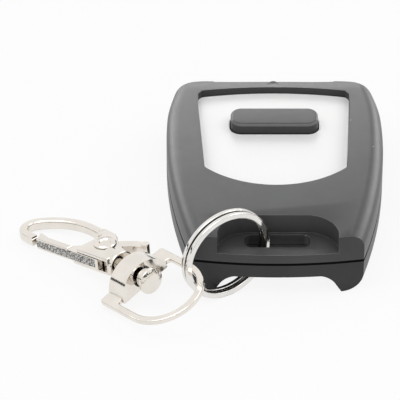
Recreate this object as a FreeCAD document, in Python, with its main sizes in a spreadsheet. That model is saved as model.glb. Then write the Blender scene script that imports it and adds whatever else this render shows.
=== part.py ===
import FreeCAD, Part
import math
import os

import Sketcher
from FreeCAD import Placement, Rotation, Vector

# Alarm remote fob with split key ring and swivel snap hook, millimetres.
# +X is right, +Y runs from the key ring end to the indicator end, +Z is up.
# The origin is on the flat underside, below the middle of the case.

doc = FreeCAD.newDocument("remote_fob")
sizes = doc.addObject("Spreadsheet::Sheet", "Sizes")

DRIVING = (
    # case outline, seen from above
    ("wide_half", 22.6, "half width where the case is widest"),
    ("wide_y", 9.0, "where along the case it is widest"),
    ("side_radius", 141.0, "bow of the long sides"),
    ("near_y", -30.8, "middle of the key ring end"),
    ("near_corner_y", -29.2, "corners of the key ring end"),
    ("far_y", 31.0, "middle of the indicator end"),
    ("far_corner_y", 29.2, "corners of the indicator end before rounding"),
    ("far_corner_radius", 5.5, "plan rounding of the far corners"),
    # case heights
    ("seam_z", 7.2, "top of the lower shell"),
    ("seam_gap", 0.15, "shadow line between the shells"),
    ("near_top_z", 13.4, "top edge over the key ring end"),
    ("crown_radius", 420.0, "long bow of the top"),
    ("slope_y", 23.5, "where the top starts to fall to the far end"),
    ("slope_z", 13.8, "height of the top there"),
    ("far_top_z", 11.0, "height of the fall at the far end"),
    ("top_round", 3.0, "rounding between top and sides"),
    ("base_round", 4.0, "rounding between underside and sides"),
    ("wall", 1.6, "shell wall"),
    ("lip_height", 1.0, "tongue of the lower shell inside the upper one"),
    ("lip_wall", 0.75, "thickness of that tongue"),
    ("fit_gap", 0.1, "clearance between parts that slip together"),
    # face plate and button
    ("recess_far_half", 16.4, "recess half width at the far end"),
    ("recess_far_y", 22.8, "recess far corners"),
    ("recess_far_mid_y", 24.5, "recess far edge in the middle"),
    ("recess_near_half", 14.65, "recess half width at the near end"),
    ("recess_near_y", -6.5, "recess near corners"),
    ("recess_near_mid_y", -12.8, "recess near edge in the middle"),
    ("recess_corner", 1.6, "recess corner radius"),
    ("recess_floor_z", 11.7, "seat of the face plate"),
    ("recess_web", 1.5, "wall under the face plate"),
    ("plate_thick", 0.5, "face plate thickness"),
    ("button_y", 12.3, "middle of the button"),
    ("button_half_x", 9.15, "half length of the button across the case"),
    ("button_half_y", 3.3, "half width of the button"),
    ("button_corner", 2.3, "button corner radius"),
    ("button_top_z", 14.5, "top of the button"),
    ("button_edge", 0.7, "soft top edge of the button"),
    ("button_gap", 0.25, "gap round the button"),
    ("flange_reach", 1.0, "flange of the button past its sides"),
    ("flange_thick", 0.8, "flange thickness"),
    ("flange_drop", 0.2, "gap over the flange at rest"),
    ("press_travel", 0.4, "how far the button goes down"),
    # key pocket, slot and arch
    ("pocket_far_y", -22.9, "far wall of the key pocket"),
    ("pocket_far_half", 6.4, "straight part of that wall, half"),
    ("pocket_half", 12.2, "half width of the pocket mouth"),
    ("pocket_side_y", -28.4, "where the rounded pocket corners end"),
    ("pocket_corner", 6.5, "radius of the pocket corners"),
    ("pocket_floor_z", 9.6, "floor of the key pocket"),
    ("slot_half", 6.7, "half length of the ring slot"),
    ("slot_far_y", -23.7, "far edge of the ring slot"),
    ("slot_near_y", -28.0, "near edge of the ring slot"),
    ("slot_flare", 0.95, "how much the slot opens towards the arch"),
    ("slot_corner", 1.6, "slot corner radius"),
    ("arch_foot_half", 12.9, "half width of the arch at the underside"),
    ("arch_top_half", 8.8, "half width of the arch at its ceiling"),
    ("arch_top_z", 4.1, "arch ceiling"),
    ("arch_bend_z", 2.3, "where the arch starts to curve over"),
    ("arch_far_y", -21.8, "how far the arch runs back"),
    # circuit board and its supports
    ("board_half", 13.2, "half width of the circuit board"),
    ("board_near_y", -14.6, "near end of the board"),
    ("board_far_y", 28.6, "far end of the board"),
    ("board_corner", 5.0, "board corner radius"),
    ("board_z", 5.5, "underside of the board"),
    ("board_thick", 1.0, "board thickness"),
    ("post_half_x", 10.8, "board posts, half spacing across"),
    ("post_far_y", 24.0, "far board posts"),
    ("post_near_y", -12.4, "near board posts"),
    ("post_radius", 1.5, "board post radius"),
    ("peg_radius", 0.8, "peg on each board post"),
    ("cell_y", -3.6, "middle of the coin cell"),
    ("cell_radius", 10.0, "coin cell radius"),
    ("cell_thick", 3.2, "coin cell thickness"),
    ("strap_thick", 0.3, "sheet of the cell clip"),
    ("strap_half", 3.0, "half width of the cell clip"),
    # screws
    ("screw_half_x", 16.2, "far screws, half spacing"),
    ("screw_far_y", 21.6, "far screws"),
    ("screw_near_y", -17.5, "near screw"),
    ("screw_radius", 1.0, "screw shank radius"),
    ("screw_head", 1.9, "screw head radius"),
    ("screw_length", 8.0, "screw length under the head"),
    ("boss_radius", 2.4, "screw boss radius"),
    # switch, indicator and board parts
    ("switch_half", 3.1, "half size of the push switch"),
    ("switch_height", 1.5, "push switch height"),
    ("plunger_radius", 1.6, "switch plunger radius"),
    ("plunger_height", 0.7, "plunger above the switch"),
    ("led_y", 26.4, "indicator position"),
    ("led_radius", 1.0, "indicator lens radius"),
    ("led_hole", 1.15, "hole over the indicator"),
    # split ring
    ("ring_radius", 9.2, "mean radius of the split ring"),
    ("ring_wire_radial", 1.3, "ring wire, across the ring plane"),
    ("ring_wire_axial", 0.95, "ring wire, along the ring axis"),
    ("ring_turn_gap", 0.45, "gap between the two turns"),
    ("ring_step", 30.0, "angle in which the wire steps from turn to turn"),
    ("ring_step_at", 205.0, "where that step starts, from the slot side over the top"),
    ("ring_yaw", 32.0, "turn of the ring plane from +X"),
    ("ring_slot_x", -2.6, "where the ring stands in the slot, across"),
    ("ring_slot_y", -25.7, "where the ring stands in the slot, along"),
    ("ring_floor", 0.1, "ring bottom over the floor"),
    # swivel loop
    ("loop_azimuth", -50.0, "direction of the swivel axis, seen from above"),
    ("loop_rise", 8.6, "rise of the swivel axis towards the ring"),
    ("loop_roll", 17.3, "roll of the loop about the swivel axis"),
    ("loop_half", 8.7, "outer half width of the loop"),
    ("loop_straight", 7.9, "where the loop sides start to bend"),
    ("loop_strap", 1.5, "strap width in the loop plane"),
    ("loop_thick", 1.2, "strap thickness"),
    ("loop_round", 0.3, "rounding of the strap edges"),
    ("loop_drop", 1.97, "loop plane below the swivel axis"),
    ("bar_half", 2.3, "half depth of the bar with the boss"),
    ("hood_half", 6.0, "half width of the arched boss where it stands on the strap"),
    ("hood_arch", 6.4, "radius of its arch"),
    ("boss_bore", 1.65, "bore in the boss"),
    ("boss_sink", 2.3, "recess for the collar, radius"),
    ("boss_sink_depth", 1.2, "recess depth"),
    ("ring_at_a", 9.6, "where the ring passes the loop, along the axis"),
    ("ring_at_c", 5.67, "where the ring passes the loop, across"),
    ("ring_at_angle", 16.1, "how far below its middle the ring passes the loop"),
    # snap hook, along (a) and across (c) the swivel axis from the loop bar
    ("post_r", 1.25, "swivel post radius"),
    ("post_end", -7.0, "end of the post inside the hook"),
    ("collar_r", 1.95, "collar radius behind the head"),
    ("collar_start", 2.9, "collar back face"),
    ("head_r", 2.75, "post head radius"),
    ("head_start", 4.6, "head back face"),
    ("head_end", 5.6, "head front face"),
    ("flange_r", 3.1, "flange at the end of the hook barrel"),
    ("flange_start", -4.9, "back of the barrel flange"),
    ("flange_end", -4.0, "front of the barrel flange"),
    ("barrel_r", 2.5, "hook barrel radius"),
    ("barrel_start", -8.0, "where the barrel leaves the hook body"),
    ("body_thick", 4.2, "hook body thickness"),
    ("body_end", -5.6, "end of the hook body at the barrel flange"),
    ("body_inset", 0.15, "near edge of the hook body behind the gate face"),
    ("cheek_back", 2.0, "how far the upper cheek is cut back from the mouth"),
    ("body_round", 0.6, "rounding of the hook body edges"),
    ("channel_thick", 2.5, "channel for the gate"),
    ("claw_thick", 2.2, "claw thickness"),
    ("claw_width", 1.8, "claw width in the hook plane"),
    ("claw_round", 0.55, "rounding of the claw edges"),
    ("claw_arm_c", 5.1, "middle of the straight claw arm, across"),
    ("claw_arm_end", -20.0, "where the claw arm starts to sweep"),
    ("claw_sweep", 14.0, "radius of the claw sweep"),
    ("claw_sweep_angle", 54.0, "angle of the claw sweep"),
    ("claw_bend", 3.0, "radius of the claw end bend"),
    ("claw_tip", -26.0, "where the claw tip ends"),
    ("mouth_a", -16.0, "body face towards the hook mouth"),
    ("pivot_a", -10.8, "gate pivot, along"),
    ("pivot_c", 1.2, "gate pivot, across"),
    ("pivot_r", 1.2, "gate pivot pin radius"),
    ("rivet_head_r", 2.35, "rivet head radius"),
    ("rivet_head_t", 0.55, "rivet head height"),
    ("rivet_dimple", 1.0, "radius of the dimple in the rivet head"),
    ("gate_blade_thick", 2.8, "gate blade height outside the body"),
    ("gate_hub_thick", 2.3, "gate height inside the channel"),
    ("gate_hub_r", 2.6, "gate hub radius"),
    ("gate_end", -25.4, "end of the gate blade"),
    ("gate_end_c", -5.15, "middle of the gate blade at its end, across"),
    ("gate_root_c", -3.6, "middle of the gate blade at the body, across"),
    ("gate_width", 1.5, "gate blade width"),
    ("skirt_end", -8.2, "end of the gate wall between the cheeks"),
    ("skirt_wall", 1.1, "thickness of that wall"),
    ("grip_pitch", 0.8, "grooves on the gate, pitch"),
    ("grip_depth", 0.3, "grooves on the gate, depth"),
    ("spring_wire", 0.3, "gate spring wire diameter"),
    ("spring_pitch", 0.76, "gate spring pitch"),
    ("spring_r", 1.6, "gate spring mean radius"),
    ("spring_turns", 1.5, "gate spring turns"),
)

for row, (alias, value, note) in enumerate(DRIVING, start=1):
    sizes.set(f"A{row}", note)
    sizes.set(f"B{row}", str(value))
    sizes.setAlias(f"B{row}", alias)
doc.recompute()


def number(expression):
    """The value of an expression over the sheet's sizes."""
    result = sizes.evalExpression(str(expression))
    return float(getattr(result, "Value", result))


def words(expression):
    """An expression with each size named through the sheet."""
    text = str(expression)
    out = ""
    word = ""
    for letter in text + " ":
        if letter.isalnum() or letter == "_":
            word += letter
            continue
        out += f"Sizes.{word}" if word in ALIASES else word
        out += letter
        word = ""
    return out.strip()


ALIASES = {alias for alias, _, _ in DRIVING}


# sketches

def plane(body, role):
    """The origin plane of a body with the given role."""
    for feature in body.Origin.OriginFeatures:
        if feature.Role == role:
            return feature
    raise ValueError(role)


def arc_between(start, end, radius):
    """A circular arc with the given signed radius: positive turns left."""
    chord = end - start
    half = chord.Length / 2
    rise = math.sqrt(max(radius * radius - half * half, 0.0))
    left = Vector(-chord.y, chord.x, 0).normalize()
    centre = (start + end) / 2 + left * math.copysign(rise, radius)
    first, last = (start, end) if radius > 0 else (end, start)
    angles = [math.atan2(p.y - centre.y, p.x - centre.x) for p in (first, last)]
    if angles[1] < angles[0]:
        angles[1] += 2 * math.pi
    circle = Part.Circle(centre, Vector(0, 0, 1), abs(radius))
    return Part.ArcOfCircle(circle, angles[0], angles[1])


def pin_point(sketch, geometry, point, expressions):
    """Ties one end point of a curve to the sketch axes by two expressions."""
    for kind, axis, expression in zip(("DistanceX", "DistanceY"), (-2, -1), expressions):
        value = number(expression)
        if str(expression) == "0":
            sketch.addConstraint(Sketcher.Constraint("PointOnObject", geometry, point, axis))
            continue
        index = sketch.addConstraint(Sketcher.Constraint(kind, -1, 1, geometry, point, value))
        sketch.setExpression(f"Constraints[{index}]", words(expression))


def add_loop(sketch, vertices):
    """Adds a closed loop: each vertex is x, y and the signed radius of its next side."""
    points = [Vector(number(x), number(y), 0) for x, y, _ in vertices]
    count = len(points)
    ends = []
    for i, (x, y, radius) in enumerate(vertices):
        start, end = points[i], points[(i + 1) % count]
        if radius is None:
            index = sketch.addGeometry(Part.LineSegment(start, end), False)
            ends.append((index, 1, 2))
            continue
        signed = number(radius)
        index = sketch.addGeometry(arc_between(start, end, signed), False)
        ends.append((index, 1, 2) if signed > 0 else (index, 2, 1))
        size = str(radius) if signed > 0 else f"-({radius})"
        rule = sketch.addConstraint(Sketcher.Constraint("Radius", index, abs(signed)))
        sketch.setExpression(f"Constraints[{rule}]", words(size))
    for i in range(count):
        index, _, last = ends[i]
        follower, first, _ = ends[(i + 1) % count]
        sketch.addConstraint(Sketcher.Constraint("Coincident", index, last, follower, first))
    for (index, first, _), (x, y, _) in zip(ends, vertices):
        pin_point(sketch, index, first, (x, y))


def add_circle(sketch, x, y, radius):
    """Adds a circle with its centre and radius tied to the sizes."""
    centre = Vector(number(x), number(y), 0)
    index = sketch.addGeometry(Part.Circle(centre, Vector(0, 0, 1), number(radius)), False)
    rule = sketch.addConstraint(Sketcher.Constraint("Radius", index, number(radius)))
    sketch.setExpression(f"Constraints[{rule}]", words(radius))
    pin_point(sketch, index, 3, (x, y))


def new_sketch(body, name, role="XY_Plane", level="0", loops=(), circles=()):
    """A sketch on one of the body's origin planes, moved along its normal to a level."""
    sketch = body.newObject("Sketcher::SketchObject", name)
    sketch.AttachmentSupport = [(plane(body, role), "")]
    sketch.MapMode = "FlatFace"
    sketch.AttachmentOffset = Placement(Vector(0, 0, number(level)), Rotation())
    sketch.setExpression("AttachmentOffset.Base.z", words(level))
    for loop in loops:
        add_loop(sketch, loop)
    for circle in circles:
        add_circle(sketch, *circle)
    doc.recompute()
    return sketch


def rounded_box(x0, y0, x1, y1, r):
    """The loop of a rectangle with rounded corners."""
    return (
        (f"({x0})+({r})", y0, None),
        (f"({x1})-({r})", y0, r),
        (x1, f"({y0})+({r})", None),
        (x1, f"({y1})-({r})", r),
        (f"({x1})-({r})", y1, None),
        (f"({x0})+({r})", y1, r),
        (x0, f"({y1})-({r})", None),
        (x0, f"({y0})+({r})", r),
    )


# features

def new_body(name):
    body = doc.addObject("PartDesign::Body", name)
    body.Label = name
    return body


def grow(body, sketch, length, down=False, middle=False):
    """Adds a pad and returns it."""
    pad = body.newObject("PartDesign::Pad", "Pad_" + sketch.Name)
    pad.Profile = sketch
    pad.setExpression("Length", words(length))
    pad.Reversed = down
    pad.Midplane = middle
    before = body.Shape.Volume if not body.Shape.isNull() else 0.0
    doc.recompute()
    if pad.Shape.Volume <= before:
        raise ValueError(f"{pad.Name} adds nothing")
    return pad


def cut(body, sketch, length, up=False, middle=False):
    """Adds a pocket that must remove something, and returns it."""
    before = body.Tip.Shape.Volume
    pocket = body.newObject("PartDesign::Pocket", "Pocket_" + sketch.Name)
    pocket.Profile = sketch
    pocket.setExpression("Length", words(length))
    pocket.Reversed = up
    pocket.Midplane = middle
    doc.recompute()
    if pocket.Shape.Volume >= before - 1e-6:
        raise ValueError(f"{pocket.Name} cuts nothing")
    return pocket


def round_edges(body, radius, chosen, name):
    """Rounds the edges of the body's tip for which chosen(edge) is true."""
    tip = body.Tip
    picked = [f"Edge{i}" for i, edge in enumerate(tip.Shape.Edges, 1) if chosen(edge)]
    if not picked:
        raise ValueError(f"{name} finds no edge")
    fillet = body.newObject("PartDesign::Fillet", name)
    fillet.Base = (tip, picked)
    fillet.setExpression("Radius", words(radius))
    doc.recompute()
    if fillet.Shape.isNull() or not fillet.Shape.isValid():
        places = [tuple(round(v, 2) for v in middle_of(tip.Shape.Edges[int(e[4:]) - 1])) for e in picked]
        raise ValueError(f"{name} fails on {places}")
    return fillet


def middle_of(edge):
    return edge.valueAt((edge.FirstParameter + edge.LastParameter) / 2)


def is_upright(edge):
    ends = [v.Point for v in edge.Vertexes]
    return len(ends) == 2 and math.hypot(ends[0].x - ends[1].x, ends[0].y - ends[1].y) < 1e-4


# case outline

SIDE_CENTRE = "wide_half-side_radius"


def side_x(y, inset="0"):
    """Half width of the case at y, drawn in by an inset."""
    radius = f"(side_radius-({inset}))"
    return f"({SIDE_CENTRE}+sqrt({radius}^2-(({y})-wide_y)^2))"


def bow_radius(half, sagitta):
    """Radius of an arc with the given half chord and sagitta."""
    return f"((({half})^2+({sagitta})^2)/(2*({sagitta})))"


def case_loop():
    near_x = side_x("near_corner_y")
    far_x = side_x("far_corner_y")
    near_bow = bow_radius(near_x, "near_corner_y-near_y")
    far_bow = bow_radius(far_x, "far_y-far_corner_y")
    return (
        (f"-{near_x}", "near_corner_y", near_bow),
        (near_x, "near_corner_y", "side_radius"),
        (far_x, "far_corner_y", far_bow),
        (f"-{far_x}", "far_corner_y", "side_radius"),
    )


def cavity_loop(inset, near):
    """The inside outline: the case drawn in by an inset, cut square at its near end."""
    far = f"far_corner_y-({inset})"
    corner = "(far_corner_radius-wall)"
    near_x = side_x(near, inset)
    far_x = side_x(f"{far}-{corner}", inset)
    bow = bow_radius(f"{far_x}-{corner}", "far_y-far_corner_y")
    return (
        (f"-{near_x}", near, None),
        (near_x, near, f"side_radius-({inset})"),
        (far_x, f"{far}-{corner}", f"{corner}*1.05"),
        (f"{far_x}-{corner}", far, bow),
        (f"-({far_x}-{corner})", far, f"{corner}*1.05"),
        (f"-{far_x}", f"{far}-{corner}", f"side_radius-({inset})"),
    )


def recess_loop(inset):
    """The face plate recess, drawn in by an inset, with rounded far corners."""
    far_x = f"(recess_far_half-({inset}))"
    near_x = f"(recess_near_half-({inset}))"
    far_y = f"(recess_far_y-({inset}))"
    near_y = f"(recess_near_y+({inset}))"
    cut_x = f"({far_x}-recess_corner)"
    cut_y = f"({far_y}+0.2*recess_corner)"
    side = f"({far_x}-0.06*recess_corner)"
    far_bow = bow_radius(cut_x, "recess_far_mid_y-recess_far_y-0.2*recess_corner")
    near_bow = bow_radius(near_x, "recess_near_y-recess_near_mid_y")
    return (
        (f"-{near_x}", near_y, near_bow),
        (near_x, near_y, None),
        (side, f"{far_y}-recess_corner", "1.15*recess_corner"),
        (cut_x, cut_y, far_bow),
        (f"-{cut_x}", cut_y, "1.15*recess_corner"),
        (f"-{side}", f"{far_y}-recess_corner", None),
    )


def slot_loop(flare="0"):
    return rounded_box("-slot_half", f"slot_near_y-({flare})", "slot_half", "slot_far_y", "slot_corner")


def pocket_loop():
    """The key pocket: a straight far wall with wide rounded corners, open to the near end."""
    mouth = "near_y-1"
    return (
        ("-pocket_half", mouth, None),
        ("pocket_half", mouth, None),
        ("pocket_half", "pocket_side_y", "pocket_corner"),
        ("pocket_far_half", "pocket_far_y", None),
        ("-pocket_far_half", "pocket_far_y", "pocket_corner"),
        ("-pocket_half", "pocket_side_y", None),
    )


def arch_loop():
    """The arch under the key ring end, seen along the case."""
    return (
        ("-arch_foot_half", "-1", None),
        ("arch_foot_half", "-1", None),
        ("arch_foot_half", "0", None),
        ("arch_foot_half-1.4", "arch_bend_z", "4.5"),
        ("arch_top_half", "arch_top_z", None),
        ("-arch_top_half", "arch_top_z", "4.5"),
        ("-arch_foot_half+1.4", "arch_bend_z", None),
        ("-arch_foot_half", "0", None),
    )


BOSSES = (
    ("-screw_half_x", "screw_far_y"),
    ("screw_half_x", "screw_far_y"),
    ("0", "screw_near_y"),
)
POSTS = tuple(
    (f"{side}post_half_x", along) for side in ("-", "") for along in ("post_near_y", "post_far_y")
)


def make_top_shell():
    body = new_body("top_shell")
    grow(body, new_sketch(body, "TopPlan", level="seam_z+seam_gap", loops=[case_loop()]),
         "16-seam_z-seam_gap")
    far_y = number("far_corner_y")
    round_edges(body, "far_corner_radius",
                lambda e: is_upright(e) and middle_of(e).y > far_y - 1, "TopFarCorners")
    profile = new_sketch(body, "TopProfile", role="YZ_Plane")
    over = "20"
    near = "near_y-0.5"
    far = "far_y+0.4"
    crest = Vector(number("slope_y"), number("slope_z"), 0)
    start = Vector(number(near), number("near_top_z"), 0)
    end = Vector(number(far), number("far_top_z"), 0)
    crown = profile.addGeometry(arc_between(crest, start, number("crown_radius")), False)
    drop = profile.addGeometry(arc_between(end, crest, 17.0), False)
    corners = [start, Vector(start.x, number(over), 0), Vector(end.x, number(over), 0), end]
    lines = [profile.addGeometry(Part.LineSegment(corners[i], corners[i + 1]), False)
             for i in range(3)]
    rule = profile.addConstraint(Sketcher.Constraint("Radius", crown, number("crown_radius")))
    profile.setExpression(f"Constraints[{rule}]", "Sizes.crown_radius")
    profile.addConstraint(Sketcher.Constraint("Tangent", drop, 2, crown, 1))
    profile.addConstraint(Sketcher.Constraint("Coincident", crown, 2, lines[0], 1))
    profile.addConstraint(Sketcher.Constraint("Coincident", lines[0], 2, lines[1], 1))
    profile.addConstraint(Sketcher.Constraint("Coincident", lines[1], 2, lines[2], 1))
    profile.addConstraint(Sketcher.Constraint("Coincident", lines[2], 2, drop, 1))
    pin_point(profile, crown, 1, ("slope_y", "slope_z"))
    pin_point(profile, crown, 2, (near, "near_top_z"))
    pin_point(profile, lines[0], 2, (near, over))
    pin_point(profile, lines[1], 2, (far, over))
    pin_point(profile, drop, 1, (far, "far_top_z"))
    doc.recompute()
    cut(body, profile, "4*wide_half", middle=True)
    seam = number("seam_z+seam_gap")
    near_y = number("near_corner_y")
    round_edges(
        body, "top_round",
        lambda e: not is_upright(e) and middle_of(e).z > seam + 1 and middle_of(e).y > near_y + 0.1
        and not (abs(middle_of(e).x) < 1 and middle_of(e).y < far_y - 2),
        "TopRound")
    cut(body, new_sketch(body, "Recess", level="recess_floor_z", loops=[recess_loop("0")]),
        "6", up=True)
    recess_corners = number("recess_far_half") + 0.3
    round_edges(
        body, "recess_corner",
        lambda e: is_upright(e) and abs(middle_of(e).x) < recess_corners
        and middle_of(e).z > number("recess_floor_z") and abs(middle_of(e).y - number("recess_near_y")) < 0.5,
        "RecessCorners")
    cut(body, new_sketch(body, "KeyPocket", level="pocket_floor_z", loops=[pocket_loop()]),
        "6", up=True)
    cut(body, new_sketch(body, "RingSlot", level="pocket_floor_z+0.1", loops=[slot_loop()]), "4")
    cavity_near = "pocket_far_y+wall"
    cut(body, new_sketch(body, "Cavity", level="seam_z+seam_gap",
                         loops=[cavity_loop("wall", cavity_near)]),
        "recess_floor_z-recess_web-seam_z-seam_gap", up=True)
    cut(body, new_sketch(body, "LipGroove", level="seam_z+seam_gap",
                         loops=[cavity_loop("wall-lip_wall-fit_gap", f"{cavity_near}-lip_wall-fit_gap")]),
        "lip_height", up=True)
    high = new_sketch(body, "HighCavity", level="seam_z+seam_gap", loops=[rounded_box(
        f"-({side_x(cavity_near, 'wall+1.5')})", cavity_near,
        side_x(cavity_near, "wall+1.5"), "recess_near_mid_y-wall", "1")])
    cut(body, high, "near_top_z-wall-seam_z-seam_gap", up=True)
    boss_top = "recess_floor_z-recess_web-seam_z-seam_gap+0.5"
    bosses = new_sketch(body, "TopBosses", level="seam_z+seam_gap",
                        circles=[(x, y, "boss_radius") for x, y in BOSSES[:2]])
    grow(body, bosses, boss_top)
    near_boss = new_sketch(body, "TopNearBoss", level="seam_z+seam_gap",
                           circles=[(*BOSSES[2], "boss_radius")])
    grow(body, near_boss, "near_top_z-wall-seam_z-seam_gap+0.3")
    pilots = new_sketch(body, "Pilots", level="seam_z+seam_gap",
                        circles=[(x, y, "screw_radius+0.02") for x, y in BOSSES])
    cut(body, pilots, "wall+screw_length-seam_z-seam_gap+0.3", up=True)
    button = rounded_box(
        "-button_half_x-button_gap", "button_y-button_half_y-button_gap",
        "button_half_x+button_gap", "button_y+button_half_y+button_gap", "button_corner+button_gap")
    cut(body, new_sketch(body, "ButtonHole", level="recess_floor_z+0.1", loops=[button]), "recess_web+1")
    cut(body, new_sketch(body, "IndicatorHole", level="seam_z+1",
                         circles=[("0", "led_y", "led_hole")]), "8", up=True)
    return body


def make_bottom_shell():
    body = new_body("bottom_shell")
    grow(body, new_sketch(body, "BasePlan", loops=[case_loop()]), "seam_z")
    far_y = number("far_corner_y")
    round_edges(body, "far_corner_radius",
                lambda e: is_upright(e) and middle_of(e).y > far_y - 1, "BaseFarCorners")
    near_y = number("near_corner_y")
    round_edges(body, "base_round",
                lambda e: abs(middle_of(e).z) < 1e-6 and middle_of(e).y > near_y + 0.1, "BaseRound")
    cavity_near = "pocket_far_y+wall"
    cut(body, new_sketch(body, "BaseCavity", level="seam_z",
                         loops=[cavity_loop("wall", cavity_near)]), "seam_z-wall-1.4")
    cut(body, new_sketch(body, "BaseCavityDeep", level="seam_z",
                         loops=[cavity_loop("wall+1.6", f"{cavity_near}+0.4")]), "seam_z-wall")
    arch = new_sketch(body, "Arch", role="XZ_Plane", level="-(near_y-2)", loops=[arch_loop()])
    cut(body, arch, "arch_far_y-near_y+2")
    loft_low = new_sketch(body, "SlotLow", level="arch_top_z-0.1", loops=[slot_loop("slot_flare")])
    loft_high = new_sketch(body, "SlotHigh", level="seam_z+0.1", loops=[slot_loop()])
    slot = body.newObject("PartDesign::SubtractiveLoft", "FlaredSlot")
    slot.Profile = loft_low
    slot.Sections = [loft_high]
    slot.Ruled = True
    doc.recompute()
    lip = new_sketch(body, "Lip", level="seam_z-0.5", loops=[
        cavity_loop("wall-lip_wall", f"{cavity_near}-lip_wall"), cavity_loop("wall", cavity_near)])
    grow(body, lip, "0.5+lip_height-fit_gap")
    bosses = new_sketch(body, "BaseBosses", level="wall-0.5",
                        circles=[(x, y, "boss_radius") for x, y in BOSSES])
    grow(body, bosses, "seam_z+seam_gap-wall+0.5")
    cut(body, new_sketch(body, "ScrewHoles", level="-1",
                         circles=[(x, y, "screw_radius+0.1") for x, y in BOSSES]), "14", up=True)
    cut(body, new_sketch(body, "HeadSinks", level="-1",
                         circles=[(x, y, "screw_head+0.2") for x, y in BOSSES]), "1+wall", up=True)
    posts = new_sketch(body, "BoardPosts", level="wall-0.3",
                       circles=[(x, y, "post_radius") for x, y in POSTS])
    grow(body, posts, "board_z-wall+0.3")
    pegs = new_sketch(body, "BoardPegs", level="board_z-0.5",
                      circles=[(x, y, "peg_radius") for x, y in POSTS])
    grow(body, pegs, "board_thick+0.9")
    for side, name in (("1", "CellRibFar"), ("-1", "CellRibNear")):
        inner = "cell_radius+0.2"
        outer = "cell_radius+1"
        reach = "0.7"
        inner_y = f"cell_y+({side})*sqrt(({inner})^2-({reach}*({inner}))^2)"
        outer_y = f"cell_y+({side})*sqrt(({outer})^2-({reach}*({outer}))^2)"
        sign = "" if side == "1" else "-"
        rib = new_sketch(body, name, level="wall-0.3", loops=[(
            (f"{reach}*({inner})", inner_y, f"{sign}({inner})"),
            (f"-{reach}*({inner})", inner_y, None),
            (f"-{reach}*({outer})", outer_y, f"-{sign}({outer})" if sign == "" else f"({outer})"),
            (f"{reach}*({outer})", outer_y, None),
        )])
        grow(body, rib, "2.3")
    return body


def make_face_plate():
    body = new_body("face_plate")
    button = rounded_box(
        "-button_half_x-button_gap", "button_y-button_half_y-button_gap",
        "button_half_x+button_gap", "button_y+button_half_y+button_gap", "button_corner+button_gap")
    grow(body, new_sketch(body, "PlatePlan", level="recess_floor_z",
                          loops=[recess_loop("fit_gap"), button]), "plate_thick")
    round_edges(body, "recess_corner", lambda e: is_upright(e)
                and abs(middle_of(e).y - number("recess_near_y")) < 0.5, "PlateCorners")
    return body


def make_button_cap():
    body = new_body("button_cap")
    flange_top = "recess_floor_z-recess_web-flange_drop"
    cap = rounded_box("-button_half_x", "button_y-button_half_y",
                      "button_half_x", "button_y+button_half_y", "button_corner")
    grow(body, new_sketch(body, "CapPlan", level=flange_top, loops=[cap]),
         f"button_top_z-({flange_top})")
    top = number("button_top_z")
    round_edges(body, "button_edge", lambda e: abs(middle_of(e).z - top) < 1e-6, "CapEdge")
    flange = rounded_box(
        "-button_half_x-flange_reach", "button_y-button_half_y-flange_reach",
        "button_half_x+flange_reach", "button_y+button_half_y+flange_reach", "button_corner")
    grow(body, new_sketch(body, "CapFlange", level=f"{flange_top}-flange_thick", loops=[flange]),
         "flange_thick")
    stem_low = "board_z+board_thick+switch_height+plunger_height+0.05"
    grow(body, new_sketch(body, "CapStem", level=stem_low, circles=[("0", "button_y", "plunger_radius+0.2")]),
         f"{flange_top}-flange_thick-({stem_low})+0.2")
    return body


def make_circuit_board():
    body = new_body("circuit_board")
    outline = rounded_box("-board_half", "board_near_y", "board_half", "board_far_y", "board_corner")
    grow(body, new_sketch(body, "BoardPlan", level="board_z", loops=[outline],
                          circles=[(x, y, "peg_radius+0.1") for x, y in POSTS]), "board_thick")
    return body


# parts on and under the circuit board

BOARD_TOP = "board_z+board_thick"


def box_loop(x, y, half_x, half_y):
    """A plain rectangle about a point."""
    return (
        (f"({x})-({half_x})", f"({y})-({half_y})", None),
        (f"({x})+({half_x})", f"({y})-({half_y})", None),
        (f"({x})+({half_x})", f"({y})+({half_y})", None),
        (f"({x})-({half_x})", f"({y})+({half_y})", None),
    )


def make_coin_cell():
    body = new_body("coin_cell")
    level = "wall+strap_thick"
    grow(body, new_sketch(body, "CellCan", level=level, circles=[("0", "cell_y", "cell_radius-1.1")]),
         "cell_thick")
    grow(body, new_sketch(body, "CellRim", level=f"{level}+0.45",
                          circles=[("0", "cell_y", "cell_radius")]), "cell_thick-0.45")
    top = number(f"{level}+cell_thick")
    round_edges(body, "0.3", lambda e: abs(middle_of(e).z - top) < 1e-6, "CellEdge")
    return body


def make_cell_contact():
    """The sheet under the cell, with a tab up to the board."""
    body = new_body("cell_contact")
    outer = "-(cell_radius+1.2)"
    loop = (
        (outer, "wall", None),
        ("6", "wall", None),
        ("6", "wall+strap_thick", None),
        (f"{outer}+strap_thick", "wall+strap_thick", None),
        (f"{outer}+strap_thick", "board_z-0.05", None),
        (outer, "board_z-0.05", None),
    )
    sketch = new_sketch(body, "ContactSide", role="XZ_Plane", level="-cell_y", loops=[loop])
    grow(body, sketch, "2*strap_half", middle=True)
    return body


def make_cell_clip():
    """The sheet between the cell and the board, hooked over the rim of the cell."""
    body = new_body("cell_clip")
    low = "wall+strap_thick+cell_thick"
    outer = "(cell_radius+1)"
    loop = (
        ("-6", low, None),
        (f"{outer}-strap_thick", low, None),
        (f"{outer}-strap_thick", "wall+1.4", None),
        (outer, "wall+1.4", None),
        (outer, f"{low}+strap_thick", None),
        ("-6", f"{low}+strap_thick", None),
    )
    sketch = new_sketch(body, "ClipSide", role="XZ_Plane", level="-cell_y", loops=[loop])
    grow(body, sketch, "2*strap_half", middle=True)
    return body


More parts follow.
